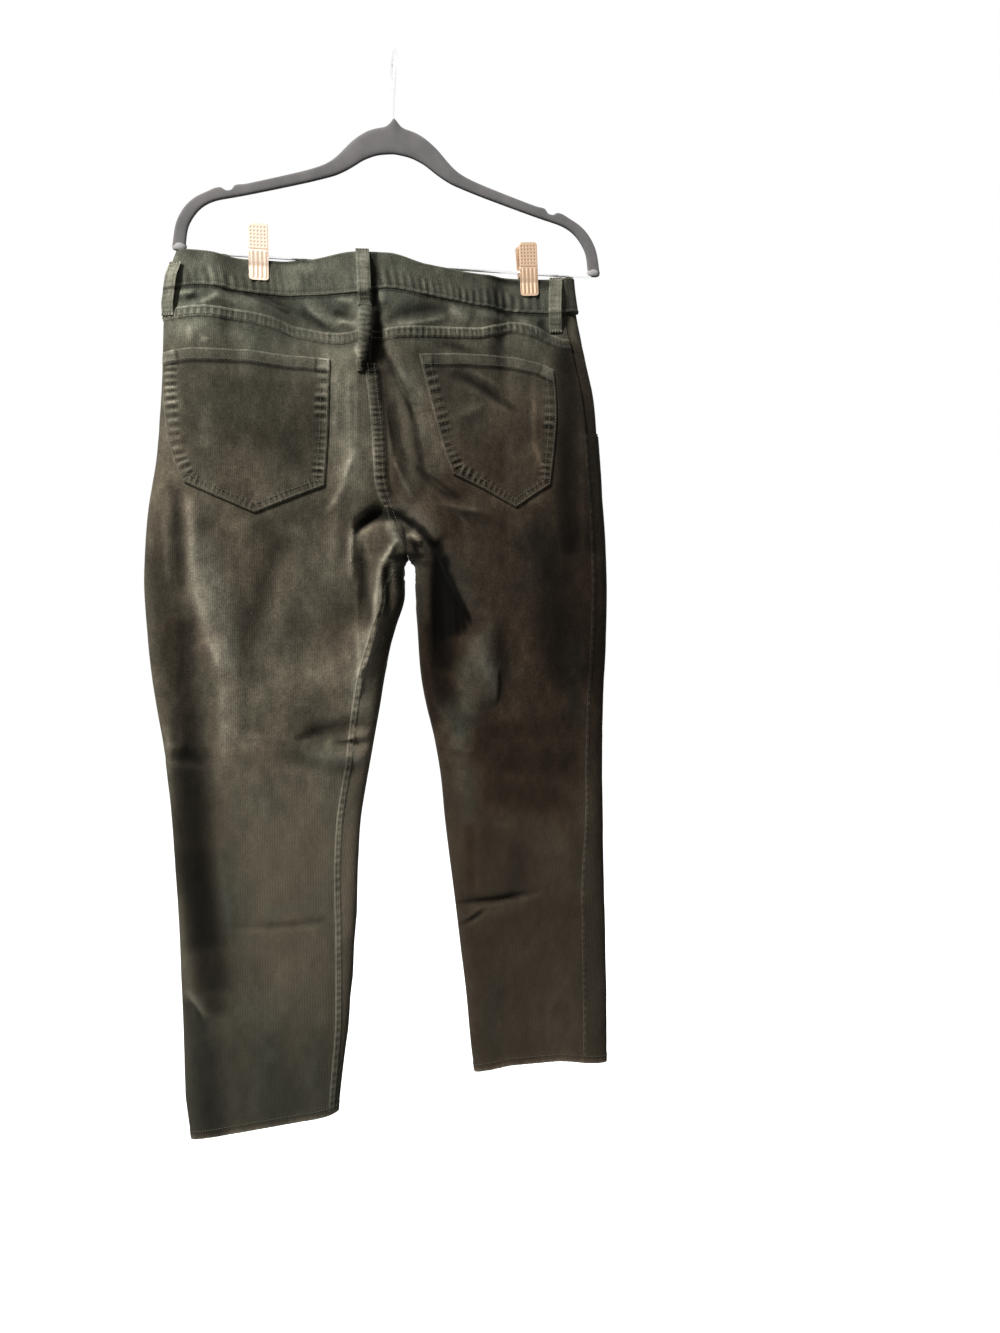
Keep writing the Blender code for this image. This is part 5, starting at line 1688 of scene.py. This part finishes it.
# %% [markdown]
# ## Waistband and belt loops
#
# The waistband is one doubled strip from the button side, round the back and over its own start. It is
# sewn on under tension, so its lower half is gathered into upright puckers. The loops are folded tape,
# stitched along both edges and tacked at both ends.

# %% Waistband
BAND_STEP, BAND_LINES = 2.0, 26
BAND_MIDDLE = 28.0  # drop of the line that its length is measured on
BAND_LAP_FROM, BAND_LAP_RAMP = -0.6, 0.16  # ring where the free end starts to step outwards


def even_rings(side, first, last):
    """Ring values at even lengths along the waist."""
    fine = np.linspace(first, last, 900)
    run = length_along(cloth_point(side, fine, 0 * fine + BAND_MIDDLE, split=0))
    return np.interp(np.linspace(0, run[-1], int(run[-1] / BAND_STEP) + 1), run, fine)


stretches = [
    (LEFT, even_rings(LEFT, -1 + LAP, -1), 0),
    (RIGHT, even_rings(RIGHT, -1, 1)[1:], 0),
    (LEFT, even_rings(LEFT, 1, -1)[1:], 0),
    (RIGHT, even_rings(RIGHT, -1, -1 + LAP)[1:], 1),
]
share = crowd_to_ends(BAND_LINES, 0.5)
faces, normals, tones = [], [], []
for side, rings, lapped in stretches:
    ring = rings[:, None] + 0 * share
    drop = 10 + 40 * share + 0 * ring
    for _ in range(4):
        x = cloth_x(side, ring, drop, 0)
        behind = ring >= 0
        top = np.where(behind, along(x, WAIST, "back_top"), along(x, WAIST, "front_top"))
        low = band_seam(x, ring) - SEAM
        drop = top + (low - top) * share
    face = cloth_point(side, ring, drop, split=0)
    normal = cloth_normal(side, ring, drop)
    step_out = LAP_STAND * ease((BAND_LAP_FROM - ring) / BAND_LAP_RAMP) * (side == LEFT)
    is_start = (side == LEFT) and len(faces) == 0
    out = BAND_PROUD + (0 if is_start else 1) * step_out + LAP_STAND * lapped
    tall = low - top
    from_top, from_low = share * tall, (1 - share) * tall
    unfolded = np.where(behind, x, 1000 - x)
    reach = 0.36 + 0.22 * drift(unfolded, 0 * drop, (11, 1), 62)
    gather = ease((share - reach) / 0.3) * np.clip((1.0 - share) / 0.10, 0, 1)
    gather = gather * (0.25 + 0.75 * ease(0.5 + 1.2 * drift(unfolded, 0 * drop, (34, 1), 64)))
    wave = ripple(unfolded + 2.0 * np.sin(drop / 9), 8.2, 61)
    lift = 1.0 * wave * gather + 0.6 * drift(unfolded, drop, (24, 30), 63)
    lift = lift + 0.2 * drift(unfolded, drop, (9, 14), 65)
    lift = lift + 0.45 * bell(from_low - 2.0, 1.6)
    lift = lift - 0.9 * bell(from_top, 0.7, 1) - 0.9 * bell(from_low, 0.5, 1)
    faces.append(face + normal * (out + lift)[..., None])
    normals.append(normal)
    tone, warm = nap_and_painted_light(side, ring, drop, face)
    worn = 0.10 + 0.22 * np.clip(wave, 0, 1) * gather + 0.30 * bell(from_low - 1.6, 1.2)
    worn = worn + 0.15 * bell(from_top, 1.2, 1)
    # painted shade in the hollows between the puckers, and a line of painted shade just above the raised
    # lower edge
    tone = tone + 0.8 * np.minimum(wave, 0) * gather - 0.35 * bell(from_low - 5.0, 1.4)
    tones.append(np.stack([worn, tone, warm]))
face, normal = np.concatenate(faces), np.concatenate(normals)
worn, tone, warm = np.concatenate(tones, axis=1)
run = length_along(face[:, BAND_LINES // 2])[:, None] + 0 * share
grain = np.stack([run - run.mean(), face[..., 2]], -1)
inner_out = BAND - 0.2
waist = cloth_shell("waistband_cloth", face, face - normal * inner_out, corduroy, grain, worn, tone, warm)
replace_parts(waist, "waistband")
SHOWN["waistband_cloth"] = waist, face
for line in (2, BAND_LINES - 3):
    sew("band_stitching", face[:, line], normal[:, line])
print("waistband", round(run.max()), "mm round")

# %% Belt loops
LOOP_POINTS, LOOP_ACROSS = 72, 11
loop_pieces = {}
for name, (side, place_on, loop_x, high, low) in LOOPS.items():
    share = np.linspace(0, 1, LOOP_POINTS)
    stand = ease(share / LOOP_RAMP) * ease((1 - share) / LOOP_RAMP)
    drop = high + (low - high) * share
    ring, arch = ring_from_outer(side, EDGE_LOOP_BACK + 0 * drop, drop), EDGE_LOOP_ARCH
    if place_on != "edge":
        ring, arch = ring_at_x(side, loop_x, drop, BACK if place_on == "back" else FRONT), LOOP_ARCH
    seat = cloth_point(side, ring, drop)
    out = cloth_normal(side, ring, drop)
    out[:, 2] = 0
    out = unit(np.mean(out, axis=0))
    level = np.cross(out, (0, 0, 1))
    on_band = BAND_PROUD * (drop < band_seam(seat[:, 0], ring) + 3)
    on_band = np.convolve(np.pad(on_band, 4, "edge"), np.ones(9) / 9, "valid")
    line = seat + (LOOP_SEAT + on_band + arch * stand)[:, None] * out
    up = np.cross(level, unit(np.gradient(line, axis=0)))
    up = up * np.sign(np.sum(up * out, axis=1))[:, None]
    across = np.linspace(-1, 1, LOOP_ACROSS)
    bulge = 0.55 + 0.45 * np.sqrt(1 - np.abs(across) ** 3)
    lengthways = share * (low - high)
    wave = ripple(lengthways, 4.6, 71)[:, None]
    ridges = 0.25 * bell(np.abs(across) - 0.75, 0.14)
    top_lift = LOOP_THICK * bulge + 0.22 * wave * (1 - across**2) + ridges
    side_step = (across * LOOP_WIDE / 2)[None, :, None] * level
    middle = line[:, None] + side_step
    outer = middle + up[:, None] * top_lift[..., None]
    inner = middle + up[:, None] * (LOOP_THICK * 0.25 * np.abs(across) ** 4)[None, :, None]
    drop_grid = drop[:, None] + 0 * across
    tone, warm = nap_and_painted_light(side, ring[:, None] + 0 * drop_grid, drop_grid, outer)
    worn = 0.22 + 0.2 * np.clip(wave, 0, 1) + 0.25 * (np.abs(across) > 0.8)
    tack = bell(share - 0.03, 0.02) + bell(share - 0.97, 0.02)
    worn = worn + 0.45 * tack[:, None]
    grain = np.stack([middle[..., 0] - loop_x, outer[..., 2]], -1)
    piece = cloth_shell(f"{name}_tape", outer, inner, corduroy, grain, worn, tone + 0.1, warm)
    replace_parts(piece, name)
    loop_pieces[name] = piece, outer
    for column in (2, LOOP_ACROSS - 3):
        sew("loop_stitching", outer[:, column], np.broadcast_to(out, outer[:, column].shape))
    for end in (2, LOOP_POINTS - 3):
        for shift in (-0.5, 0.2, 0.9):
            bar = outer[end, 1:-1] + (0, 0, shift)
            sew("loop_stitching", bar, np.broadcast_to(out, bar.shape), 0.2)
print("belt loops", len(loop_pieces))

# %% [markdown]
# ## Stitching
#
# Every row of stitching was noted while its piece was made. One Geometry Nodes tree now turns each group
# of rows into thread: the rows are cut into even lengths, a plump little stitch is put on each point,
# turned along the row and out of the cloth, and the copies are made real.

# %% Rows on the hems, the front pockets and the fly
STITCH_PITCH, STITCH_LONG, STITCH_THICK = 3.1, 2.5, 0.62
HEM_ROW = 9.5  # height of the hem's stitching above its edge
TWO_ROWS = (2.0, 8.0)  # how far each of two rows of stitching lies from an edge


def sew_on(group, side, ring, drop, out=0.3):
    face, normal = lay(side, ring, drop, out)
    sew(group, face, normal)


for panel_side, part in NAMES.items():
    for label in ("back_panel", "front_panel"):
        ring, drop = SHOWN[f"{label}_{part}"][2]
        hem_ring = ring[-1]
        hem_line = along(share_across(wrapped(hem_ring)), HEM, part)
        sew_on("leg_stitching", panel_side, hem_ring, hem_line - HEM_ROW, HEM_RISE + 0.2)
    for inset in TWO_ROWS:
        drop = np.linspace(58, SCOOP_DEEP + inset * 0.6, 90)
        ring = mouth_ring(panel_side, drop, inset)
        keep = drop < SCOOP_DEEP - 1
        sew_on("front_stitching", panel_side, ring[keep], drop[keep], 0.2)
for inset in TWO_ROWS:
    turn = np.linspace(0, np.pi / 2, 16)
    wide, deep = FLY_WIDE - inset, FLY_DEEP - inset
    x = np.concatenate([np.full(24, fly_middle - wide), fly_middle - wide * np.cos(turn)])
    drop = np.concatenate([np.linspace(66, deep - wide, 24), deep - wide * (1 - np.sin(turn))])
    keep = x < fly_middle - 1
    ring = ring_at_x(LEFT, x[keep], drop[keep], FRONT)
    sew_on("front_stitching", LEFT, ring, drop[keep], GAP + 2 * CLOTH + 0.1)
print("rows of stitching", sum(len(rows) for rows in STITCHES.values()))

# %% The stitching tree


def new_tree(name, inputs, result):
    """A Geometry Nodes tree, the identifiers of its named inputs, and what they bring into it."""
    tree = bpy.data.node_groups.new(name, "GeometryNodeTree")
    ids = {}
    for label, (kind, default) in inputs.items():
        socket = tree.interface.new_socket(label, in_out="INPUT", socket_type=f"NodeSocket{kind}")
        if default is not None:
            socket.default_value = default
        ids[label] = socket.identifier
    tree.interface.new_socket(result, in_out="OUTPUT", socket_type="NodeSocketGeometry")
    return tree, ids, tree.nodes.new("NodeGroupInput").outputs


def end_tree(tree, shape, material):
    """Make all copies real and give them their material."""
    real = add(tree, "GeometryNodeRealizeInstances", {"Geometry": shape})
    dressed = add(tree, "GeometryNodeSetMaterial", {"Geometry": real, "Material": material})
    feed(tree, tree.nodes.new("NodeGroupOutput"), {0: dressed})


def stitching_tree():
    inputs = {
        "Rows": ("Geometry", None),
        "Length": ("Float", STITCH_LONG * MM),
        "Thickness": ("Float", STITCH_THICK * MM),
        "Thread": ("Material", None),
    }
    tree, ids, given = new_tree("stitching", inputs, "Stitches")
    ball = add(tree, "GeometryNodeMeshIcoSphere", {"Radius": 0.5, "Subdivisions": 1}, "Mesh")
    ways = [
        add(tree, "GeometryNodeInputNamedAttribute", {"Name": name}, "Attribute", data_type="FLOAT_VECTOR")
        for name in ("along_row", "out_of_cloth")
    ]
    thick = given["Thickness"]
    stitches = add(tree, "GeometryNodeInstanceOnPoints", {
        "Points": given["Rows"],
        "Instance": add(tree, "GeometryNodeSetShadeSmooth", {"Geometry": ball}),
        "Rotation": add(
            tree, "FunctionNodeAxesToRotation", enumerate(ways), primary_axis="X", secondary_axis="Z"
        ),
        "Scale": add(tree, "ShaderNodeCombineXYZ", enumerate((given["Length"], thick, thick))),
    })
    end_tree(tree, stitches, given["Thread"])
    return tree, ids


def grown(carrier, tree, settings):
    """The plain mesh that a Geometry Nodes tree makes from an object, which is then removed."""
    growth = carrier.modifiers.new(tree.name, "NODES")
    growth.node_group = tree
    for identifier, value in settings.items():
        growth[identifier] = value
    bpy.context.view_layer.update()
    graph = bpy.context.evaluated_depsgraph_get()
    mesh = bpy.data.meshes.new_from_object(carrier.evaluated_get(graph))
    bpy.data.objects.remove(carrier)
    return mesh


def even_stitches(points, normals):
    """Cut a row into stitches: their middles, directions and outward directions."""
    run = length_along(points)
    at = np.arange(STITCH_PITCH / 2, run[-1], STITCH_PITCH)
    way = read_off(points, run, at + 0.8) - read_off(points, run, at - 0.8)
    way = way / np.maximum(np.linalg.norm(way, axis=1, keepdims=True), 1e-9)
    return read_off(points, run, at), way, read_off(normals, run, at)


def thread_material(name, colour, light):
    made, tree = new_material(name)
    fibre = noise(tree, place_in(tree), 1600.0, 2.0)
    coat(tree, {
        "Base Color": mix_colour(tree, fibre, colour, light),
        "Roughness": 0.75,
        "Normal": bumped(tree, fibre, 0.4, 0.0002),
    })
    return made


thread = thread_material("olive_thread", (0.075, 0.075, 0.055), (0.15, 0.145, 0.105))
stitch_tree, stitch_ids = stitching_tree()
for group, rows in STITCHES.items():
    middle, way, out = (np.concatenate(part) for part in zip(*(even_stitches(*row) for row in rows)))
    dots = bpy.data.meshes.new(f"{group}_rows")
    dots.from_pydata(metres(middle), [], [])
    for label, vectors in (("along_row", way), ("out_of_cloth", out)):
        store = dots.attributes.new(label, "FLOAT_VECTOR", "POINT")
        store.data.foreach_set("vector", vectors.astype(np.float32).ravel())
    carrier = bpy.data.objects.new(f"{group}_carrier", dots)
    bpy.context.scene.collection.objects.link(carrier)
    mesh = grown(carrier, stitch_tree, {stitch_ids["Thread"]: thread})
    mesh.name = group
    finish_piece(group, mesh, thread, 80)
    print(group, len(middle), "stitches")

# %% [markdown]
# ## The clips
#
# Each jaw is a pressed plate: its upper half is a grip with a grid of small dimples, its lower half has
# four ribs that stiffen it. The plate is a grid whose points are pushed in and out by that pattern. Two
# ears hold it on the bar, and a coil spring between them closes the jaws.

# %% Clip jaws
DIMPLE_PITCH, DIMPLE_DEEP, DIMPLE_TOP, DIMPLE_LOW = 3.5, 0.45, 23.0, 1.5
DIMPLE_WIDE = 0.052**0.5  # in pitches
RIB_PITCH, RIB_RISE, RIB_TOP, RIB_LOW = 4.4, 0.55, -1.5, -28.5
CORNER = 3.0


def metal_material(name, colour, dark, roughness, scale):
    made, tree = new_material(name)
    smear = noise(tree, place_in(tree), scale, 4.0, 0.6)
    # the metal is painted darker where a pressed plate is sunk in, a painted shade
    shade = calculate(tree, "MULTIPLY_ADD", smear, 0.35, attribute(tree, "painted_pit_shade"))
    coat(tree, {
        "Base Color": mix_colour(tree, shade, colour, dark),
        "Roughness": spread(tree, smear, 0.3, 0.7, roughness - 0.06, roughness + 0.10),
        "Metallic": 1.0,
        "Normal": bumped(tree, smear, 0.15, 0.0001),
    })
    return made


# both clips have one plating: the left clip's copy is painted paler, a painted light
rose_gold = {
    LEFT: metal_material("rose_gold_plate_painted_light", (0.80, 0.65, 0.52), (0.40, 0.27, 0.19), 0.45, 300.0),
    RIGHT: metal_material("rose_gold_plate", (0.68, 0.49, 0.34), (0.20, 0.11, 0.06), 0.42, 300.0),
}
chrome = metal_material("polished_steel", (0.93, 0.93, 0.94), (0.70, 0.70, 0.71), 0.20, 200.0)
brass = metal_material("aged_brass", (0.42, 0.30, 0.15), (0.10, 0.07, 0.04), 0.42, 500.0)


def turned(points, side):
    """A clip's own points, tilted about the bar and moved to their place on it."""
    tilt = np.radians(CLIP_TILT[side])
    x, y, z = points[..., 0], points[..., 1], points[..., 2] + BAR_DROP
    leaned = np.stack([x * np.cos(tilt) - z * np.sin(tilt), y, x * np.sin(tilt) + z * np.cos(tilt)], -1)
    return leaned + (CLIP_X[side], 0, -BAR_DROP)


def poured(shape, mesh):
    """Fill a mesh from a shape, which is then done with."""
    shape.to_mesh(mesh)
    shape.free()
    return mesh


def joined(name, meshes):
    shape = bmesh.new()
    for mesh in meshes:
        shape.from_mesh(mesh)
    return poured(shape, bpy.data.meshes.new(name))


def ear_mesh(away, x):
    """One ear: a thin plate with a round nose that the bar runs through."""
    turn = np.linspace(-np.pi / 2, np.pi / 2, 13)
    nose = np.stack([-away * (EAR_FAR - 3.6 + 3.6 * np.cos(turn)), -BAR_DROP + 3.6 * np.sin(turn)], -1)
    back = np.stack([np.full(13, away * EAR_NEAR), np.linspace(-EAR_DROP, EAR_TOP, 13)], -1)
    plate = np.stack([back, back * 0.5 + nose * 0.5, nose], 1)
    sheet = np.stack([0 * plate[..., 0] + x, plate[..., 0], plate[..., 1]], -1)
    return sheet + (JAW_THICK / 2, 0, 0), sheet - (JAW_THICK / 2, 0, 0)


def jaw_piece(side, away, ear_out):
    label = "back" if away < 0 else "front"
    name = f"clip_{NAMES[side]}_{label}_jaw"
    height = np.linspace(JAW["height"].max(), JAW["height"].min(), 96)
    out = along(-height, {"down": -JAW["height"], "out": JAW["out"]}, "out")
    half = np.full(96, JAW_WIDE / 2)
    for end in (height[0] - height, height - height[-1]):
        bite = np.clip(1 - end / CORNER, 0, 1)
        half = half - CORNER * (1 - np.sqrt(1 - bite**2))
    across = np.linspace(-1, 1, 45)
    x = half[:, None] * across
    z = height[:, None] + 0 * across
    column = (x / DIMPLE_PITCH + 0.5) % 1 - 0.5
    row = ((z - DIMPLE_LOW) / DIMPLE_PITCH) % 1 - 0.5
    in_grip = (z > DIMPLE_LOW) & (z < DIMPLE_TOP - 1) & (np.abs(x) < JAW_WIDE / 2 - 1)
    dimple = bell(np.hypot(column, row), DIMPLE_WIDE) * in_grip
    in_ribs = ease((RIB_TOP - z) / 1.5) * ease((z - RIB_LOW) / 1.5)
    rib_wave = np.cos(2 * np.pi * (x / RIB_PITCH + 0.5))
    ribs = RIB_RISE * np.clip(rib_wave, -0.4, 0.8) * in_ribs * (np.abs(x) < JAW_WIDE / 2 - 1.1)
    groove = 0.5 * bell(z - (RIB_TOP + 1.4), 0.5)
    edge = 0.35 * bell(half[:, None] - np.abs(x), 0.5, 1)
    lift = ribs - DIMPLE_DEEP * dimple - groove - edge
    depth = out[:, None] + JAW_THICK + lift
    face = np.stack([x, away * depth, z], -1)
    back = np.stack([x, away * (out[:, None] + 0 * x), z], -1)
    # painted shade in the dimples, in the groove and between the ribs
    painted_pit_shade = 0.85 * dimple + 0.6 * groove + 0.45 * np.clip(-rib_wave, 0, 1) * in_ribs
    plate = grid_mesh(name, turned(face, side), turned(back, side))
    write_points(plate, "painted_pit_shade", np.tile(painted_pit_shade.ravel(), 2))
    ears = []
    for end in (-1, 1):
        one, other = ear_mesh(away, end * ear_out)
        ear = grid_mesh(f"{name}_ear", turned(one, side), turned(other, side))
        write_points(ear, "painted_pit_shade", np.zeros(len(ear.vertices)))
        ears.append(ear)
    whole = joined(f"{name}_plate", [plate, *ears])
    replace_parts(finish_piece(f"{name}_plate", whole, rose_gold[side], 40), name)


# %% Springs: a spiral, grown by its own tree
SPRING_WIRE, SPRING_TURNS = 0.45, 9


def spring_tree():
    inputs = {
        "Place": ("Geometry", None),
        "Radius": ("Float", 0.003),
        "Length": ("Float", 0.011),
        "Wire": ("Float", SPRING_WIRE * MM),
        "Turns": ("Float", SPRING_TURNS),
        "Steel": ("Material", None),
    }
    tree, ids, given = new_tree("coil_spring", inputs, "Spring")
    spiral = add(tree, "GeometryNodeCurveSpiral", {
        "Resolution": 20,
        "Start Radius": given["Radius"],
        "End Radius": given["Radius"],
        "Height": given["Length"],
        "Rotations": given["Turns"],
    }, "Curve")
    size = {"Resolution": 8, "Radius": given["Wire"]}
    wire = add(tree, "GeometryNodeCurvePrimitiveCircle", size, "Curve")
    spring = {"Curve": spiral, "Profile Curve": wire, "Fill Caps": True}
    end_tree(tree, add(tree, "GeometryNodeCurveToMesh", spring, "Mesh"), given["Steel"])
    return tree, ids


coil_tree, coil_ids = spring_tree()
for panel_side, part in NAMES.items():
    jaw_piece(panel_side, -1, JAW_WIDE / 2 - JAW_THICK / 2)
    jaw_piece(panel_side, 1, JAW_WIDE / 2 - 1.5 * JAW_THICK - GAP)
    carrier = bpy.data.objects.new("spring_carrier", bpy.data.meshes.new("spring_carrier"))
    bpy.context.scene.collection.objects.link(carrier)
    mesh = grown(carrier, coil_tree, {
        coil_ids["Steel"]: chrome,
        coil_ids["Length"]: (BARREL_LONG - 1) * MM,
        coil_ids["Radius"]: (BARREL_RADIUS - SPRING_WIRE) * MM,
        coil_ids["Turns"]: float(SPRING_TURNS),
        coil_ids["Wire"]: SPRING_WIRE * MM,
    })
    points = np.array([v.co for v in mesh.vertices]) / MM
    laid = np.stack([points[:, 2] - (BARREL_LONG - 1) / 2, points[:, 0], points[:, 1] - BAR_DROP], -1)
    mesh.vertices.foreach_set("co", metres(turned(laid, panel_side)).astype(np.float32).ravel())
    spring = finish_piece(f"clip_{part}_coil", mesh, chrome, 80)
    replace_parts(spring, f"clip_{part}_spring")
print("clips done")

# %% [markdown]
# ## Hanger, hook and button
#
# The solids of the bar and the hook already have the right form, so they only get a better steel. The
# hanger's body is built anew with deeper notches and a peaked neck, and flocked: flocking is a short
# dense pile that glows at its edges. The button is turned from a profile.

# %% Flocked velvet on the hanger


def velvet_material(name, colour, light):
    made, tree = new_material(name)
    pile = noise(tree, place_in(tree), 1500.0, 2.0, 0.7)
    brushed = spread(tree, noise(tree, place_in(tree), 35.0, 3.0, 0.6), 0.3, 0.7, 0.0, 0.6)
    shade = calculate(tree, "MULTIPLY_ADD", pile, 0.5, brushed)
    coat(tree, {
        "Base Color": mix_colour(tree, shade, colour, light),
        "Roughness": 0.95,
        "Specular IOR Level": 0.15,
        "Sheen Weight": 0.5,
        "Sheen Roughness": 0.4,
        "Normal": bumped(tree, pile, 0.4, 0.0003),
    })
    return made


velvet = velvet_material("grey_flock", (0.115, 0.110, 0.108), (0.195, 0.184, 0.178))
for node in ("hanger_bar", "hanger_hook"):
    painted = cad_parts[node].data.materials
    painted.clear()
    painted.append(chrome)

# %% The hanger's body, with its strap notches and peaked neck
ARM = columns(
    "x height wide",
    (0, 120, 27), (18, 117, 26), (36, 108, 22), (50, 96.5, 18),
    (63, 87.5, 14.5), (80, 80.5, 12), (120, 68.5, 11), (160, 57.5, 10.5),
    (184, 51.5, 10.5), (199, 44, 11.5), (210, 32.5, 12.5), (217, 18, 12.5),
    (220, -1, 13),
)
HANGER_THICK, NOTCH_X, NECK_RISE = 5.6, 169.0, 9.0
ARM_STEPS, AROUND = 260, 28
step_of_row = {"row": np.arange(len(ARM["x"]), dtype=float), **ARM}
at = np.linspace(0, len(ARM["x"]) - 1, ARM_STEPS)
soft = np.hanning(25) / np.hanning(25).sum()
half_arm = []
for name in ARM:
    values = along(at, step_of_row, name)
    sign = -1 if name == "x" else 1
    both = np.concatenate([sign * values[:0:-1], values])
    half_arm.append(np.convolve(np.pad(both, 12, "reflect", reflect_type="odd"), soft, "valid"))
arm_x, arm_height, arm_wide = half_arm
run = unit(np.stack([np.gradient(arm_x), np.gradient(arm_height)], 1))
upward = np.stack([-run[:, 1], run[:, 0]], 1)
far = np.abs(arm_x)
top_edge = arm_wide / 2 - 3.4 * bell(far - NOTCH_X, 5.2, 4)
top_edge = top_edge + 1.5 * bell(far - NOTCH_X - 11, 7) + 0.9 * bell(far - NOTCH_X + 9, 5)
top_edge = top_edge + NECK_RISE * bell(far, 3.6, 1.3)
turn = np.linspace(0, 2 * np.pi, AROUND, endpoint=False)
upright, sideways = np.cos(turn), np.sin(turn)
upright = np.sign(upright) * np.abs(upright) ** np.where(upright > 0, 0.45, 0.7)
sideways = np.sign(sideways) * np.abs(sideways) ** 0.55
reach = np.where(upright > 0, top_edge[:, None], arm_wide[:, None] / 2) * upright
# the neck is round where the hook stands in it
thick = HANGER_THICK / 2 + 1.0 * bell(far, 4)[:, None] * np.clip(upright, 0, 1)
hanger_points = np.stack([
    arm_x[:, None] + upward[:, :1] * reach,
    thick * sideways + 0 * reach,
    arm_height[:, None] + upward[:, 1:] * reach,
], -1)
count = len(arm_x)
grid = np.arange(count * AROUND).reshape(count, AROUND)
following = np.roll(grid, -1, axis=1)
cells = np.stack([grid[:-1], following[:-1], following[1:], grid[1:]], -1).reshape(-1, 4).tolist()
mesh = bpy.data.meshes.new("hanger_shape")
ends = [grid[0, ::-1].tolist(), grid[-1].tolist()]
mesh.from_pydata(metres(hanger_points.reshape(-1, 3)), [], cells + ends)
shape = bmesh.new()
shape.from_mesh(mesh)
bmesh.ops.recalc_face_normals(shape, faces=shape.faces)
poured(shape, mesh)
hanger_shape = finish_piece("hanger_shape", mesh, velvet, 60)
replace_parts(hanger_shape, "hanger_body")
print("hanger body", len(mesh.vertices), "points")

# %% Caps on the tips of the arms, in a paler flock that is a painted highlight
CAP = np.array([7.4, 3.4, 4.2])  # half its width, thickness and height
CAP_PLACE = np.array([219.6, 0.0, -0.8])
velvet_painted_highlight = velvet_material("flock_painted_highlight", (0.30, 0.29, 0.28), (0.46, 0.445, 0.43))
for side, part in NAMES.items():
    shape = bmesh.new()
    bmesh.ops.create_uvsphere(shape, u_segments=32, v_segments=20, radius=1.0)
    mesh = poured(shape, bpy.data.meshes.new(f"arm_cap_{part}"))
    points = np.zeros(len(mesh.vertices) * 3)
    mesh.vertices.foreach_get("co", points)
    points = points.reshape(-1, 3)
    middle_out = np.hypot(points[:, 0], points[:, 1]).clip(1e-6)
    points[:, :2] = points[:, :2] * (middle_out**-0.55)[:, None]
    points = metres(points * CAP + CAP_PLACE * (side, 1, 1))
    mesh.vertices.foreach_set("co", points.ravel())
    finish_piece(f"arm_cap_{part}", mesh, velvet_painted_highlight)

# %% The waist button
BUTTON_PROFILE = columns(
    "out rise",
    (0, 2.1), (2.2, 2), (3, 1.5), (5.6, 1.5),
    (6.4, 2.3), (7.6, 2.9), (8.4, 2.4), (8.5, 1.2),
    (7.8, 0.2), (0, 0),
)


def turned_button():
    centre = np.mean(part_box("waist_button"), axis=0) / MM
    turn = np.linspace(0, 2 * np.pi, 57)[:-1]
    shape = bmesh.new()
    rings = []
    for radius, rise in zip(*BUTTON_PROFILE.values()):
        if radius == 0:
            rings.append([shape.verts.new((centre + (0, rise - 1.5, 0)) * MM)])
            continue
        spots = np.stack([radius * np.cos(turn), np.full(56, rise - 1.5), radius * np.sin(turn)], -1)
        rings.append([shape.verts.new(spot) for spot in (centre + spots) * MM])
    for one, other in zip(rings, rings[1:]):
        for k in range(56):
            following = (k + 1) % 56
            if len(one) == 1:
                shape.faces.new((one[0], other[k], other[following]))
            elif len(other) == 1:
                shape.faces.new((one[k], other[0], one[following]))
            else:
                shape.faces.new((one[k], other[k], other[following], one[following]))
    bmesh.ops.recalc_face_normals(shape, faces=shape.faces)
    return poured(shape, bpy.data.meshes.new("shank_button"))


button = finish_piece("shank_button", turned_button(), brass, 35)
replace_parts(button, "waist_button")

# %% [markdown]
# ## The cut
#
# Each shell is a sheet of cloth, cut flat before it was sewn. Its cut is a rectangle that holds the
# pattern piece, and its area is the piece's own.

# %% Declare every sheet
CUTS = {
    "back_panel_left": (300, 905),
    "back_panel_right": (270, 870),
    "front_panel_left": (250, 925),
    "front_panel_right": (250, 890),
    "yoke_left": (215, 62),
    "yoke_right": (245, 62),
    "pocket_left": (172, 170),
    "pocket_right": (158, 168),
    "facing_left": (110, 150),
    "facing_right": (110, 150),
    "fly_edge": (42, 145),
    "waistband_cloth": (1010, 42),
}
for name, cut in CUTS.items():
    piece, face = SHOWN[name][:2]
    print(name, "area", round(area_of(face), 4), "span", np.ptp(face.reshape(-1, 3), axis=0).round())
    declare(piece, cut)
for name, (piece, face) in loop_pieces.items():
    declare(piece, (LOOP_WIDE + 1, 66))

# %% Floor


def floor_material():
    made, tree = new_material("pale_floor")
    grain = noise(tree, place_in(tree), 6.0, 2.0)
    coat(tree, {
        "Base Color": mix_colour(tree, grain, (0.90, 0.90, 0.90), (0.94, 0.94, 0.94)),
        "Roughness": 0.9,
        "Emission Color": (1, 1, 1, 1),
        "Emission Strength": 0.85,
    })
    return made


FLOOR_LEVEL, FLOOR_SIZE = -1.75, 9.0
floor_shape = bmesh.new()
bmesh.ops.create_circle(floor_shape, cap_ends=True, segments=96, radius=FLOOR_SIZE)
bmesh.ops.translate(floor_shape, verts=floor_shape.verts, vec=(0, 0, FLOOR_LEVEL))
floor_mesh = poured(floor_shape, bpy.data.meshes.new("floor"))
floor = bpy.data.objects.new("floor", floor_mesh)
bpy.context.scene.collection.objects.link(floor)
floor_mesh.materials.append(floor_material())
floor.visible_diffuse = False
floor.visible_glossy = False
floor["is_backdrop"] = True

# %% Size and finish
triangles = {
    o.name: sum(len(p.vertices) - 2 for p in o.data.polygons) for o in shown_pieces() if o.type == "MESH"
}
print("triangles", sum(triangles.values()), "largest", max(triangles.items(), key=lambda item: item[1]))
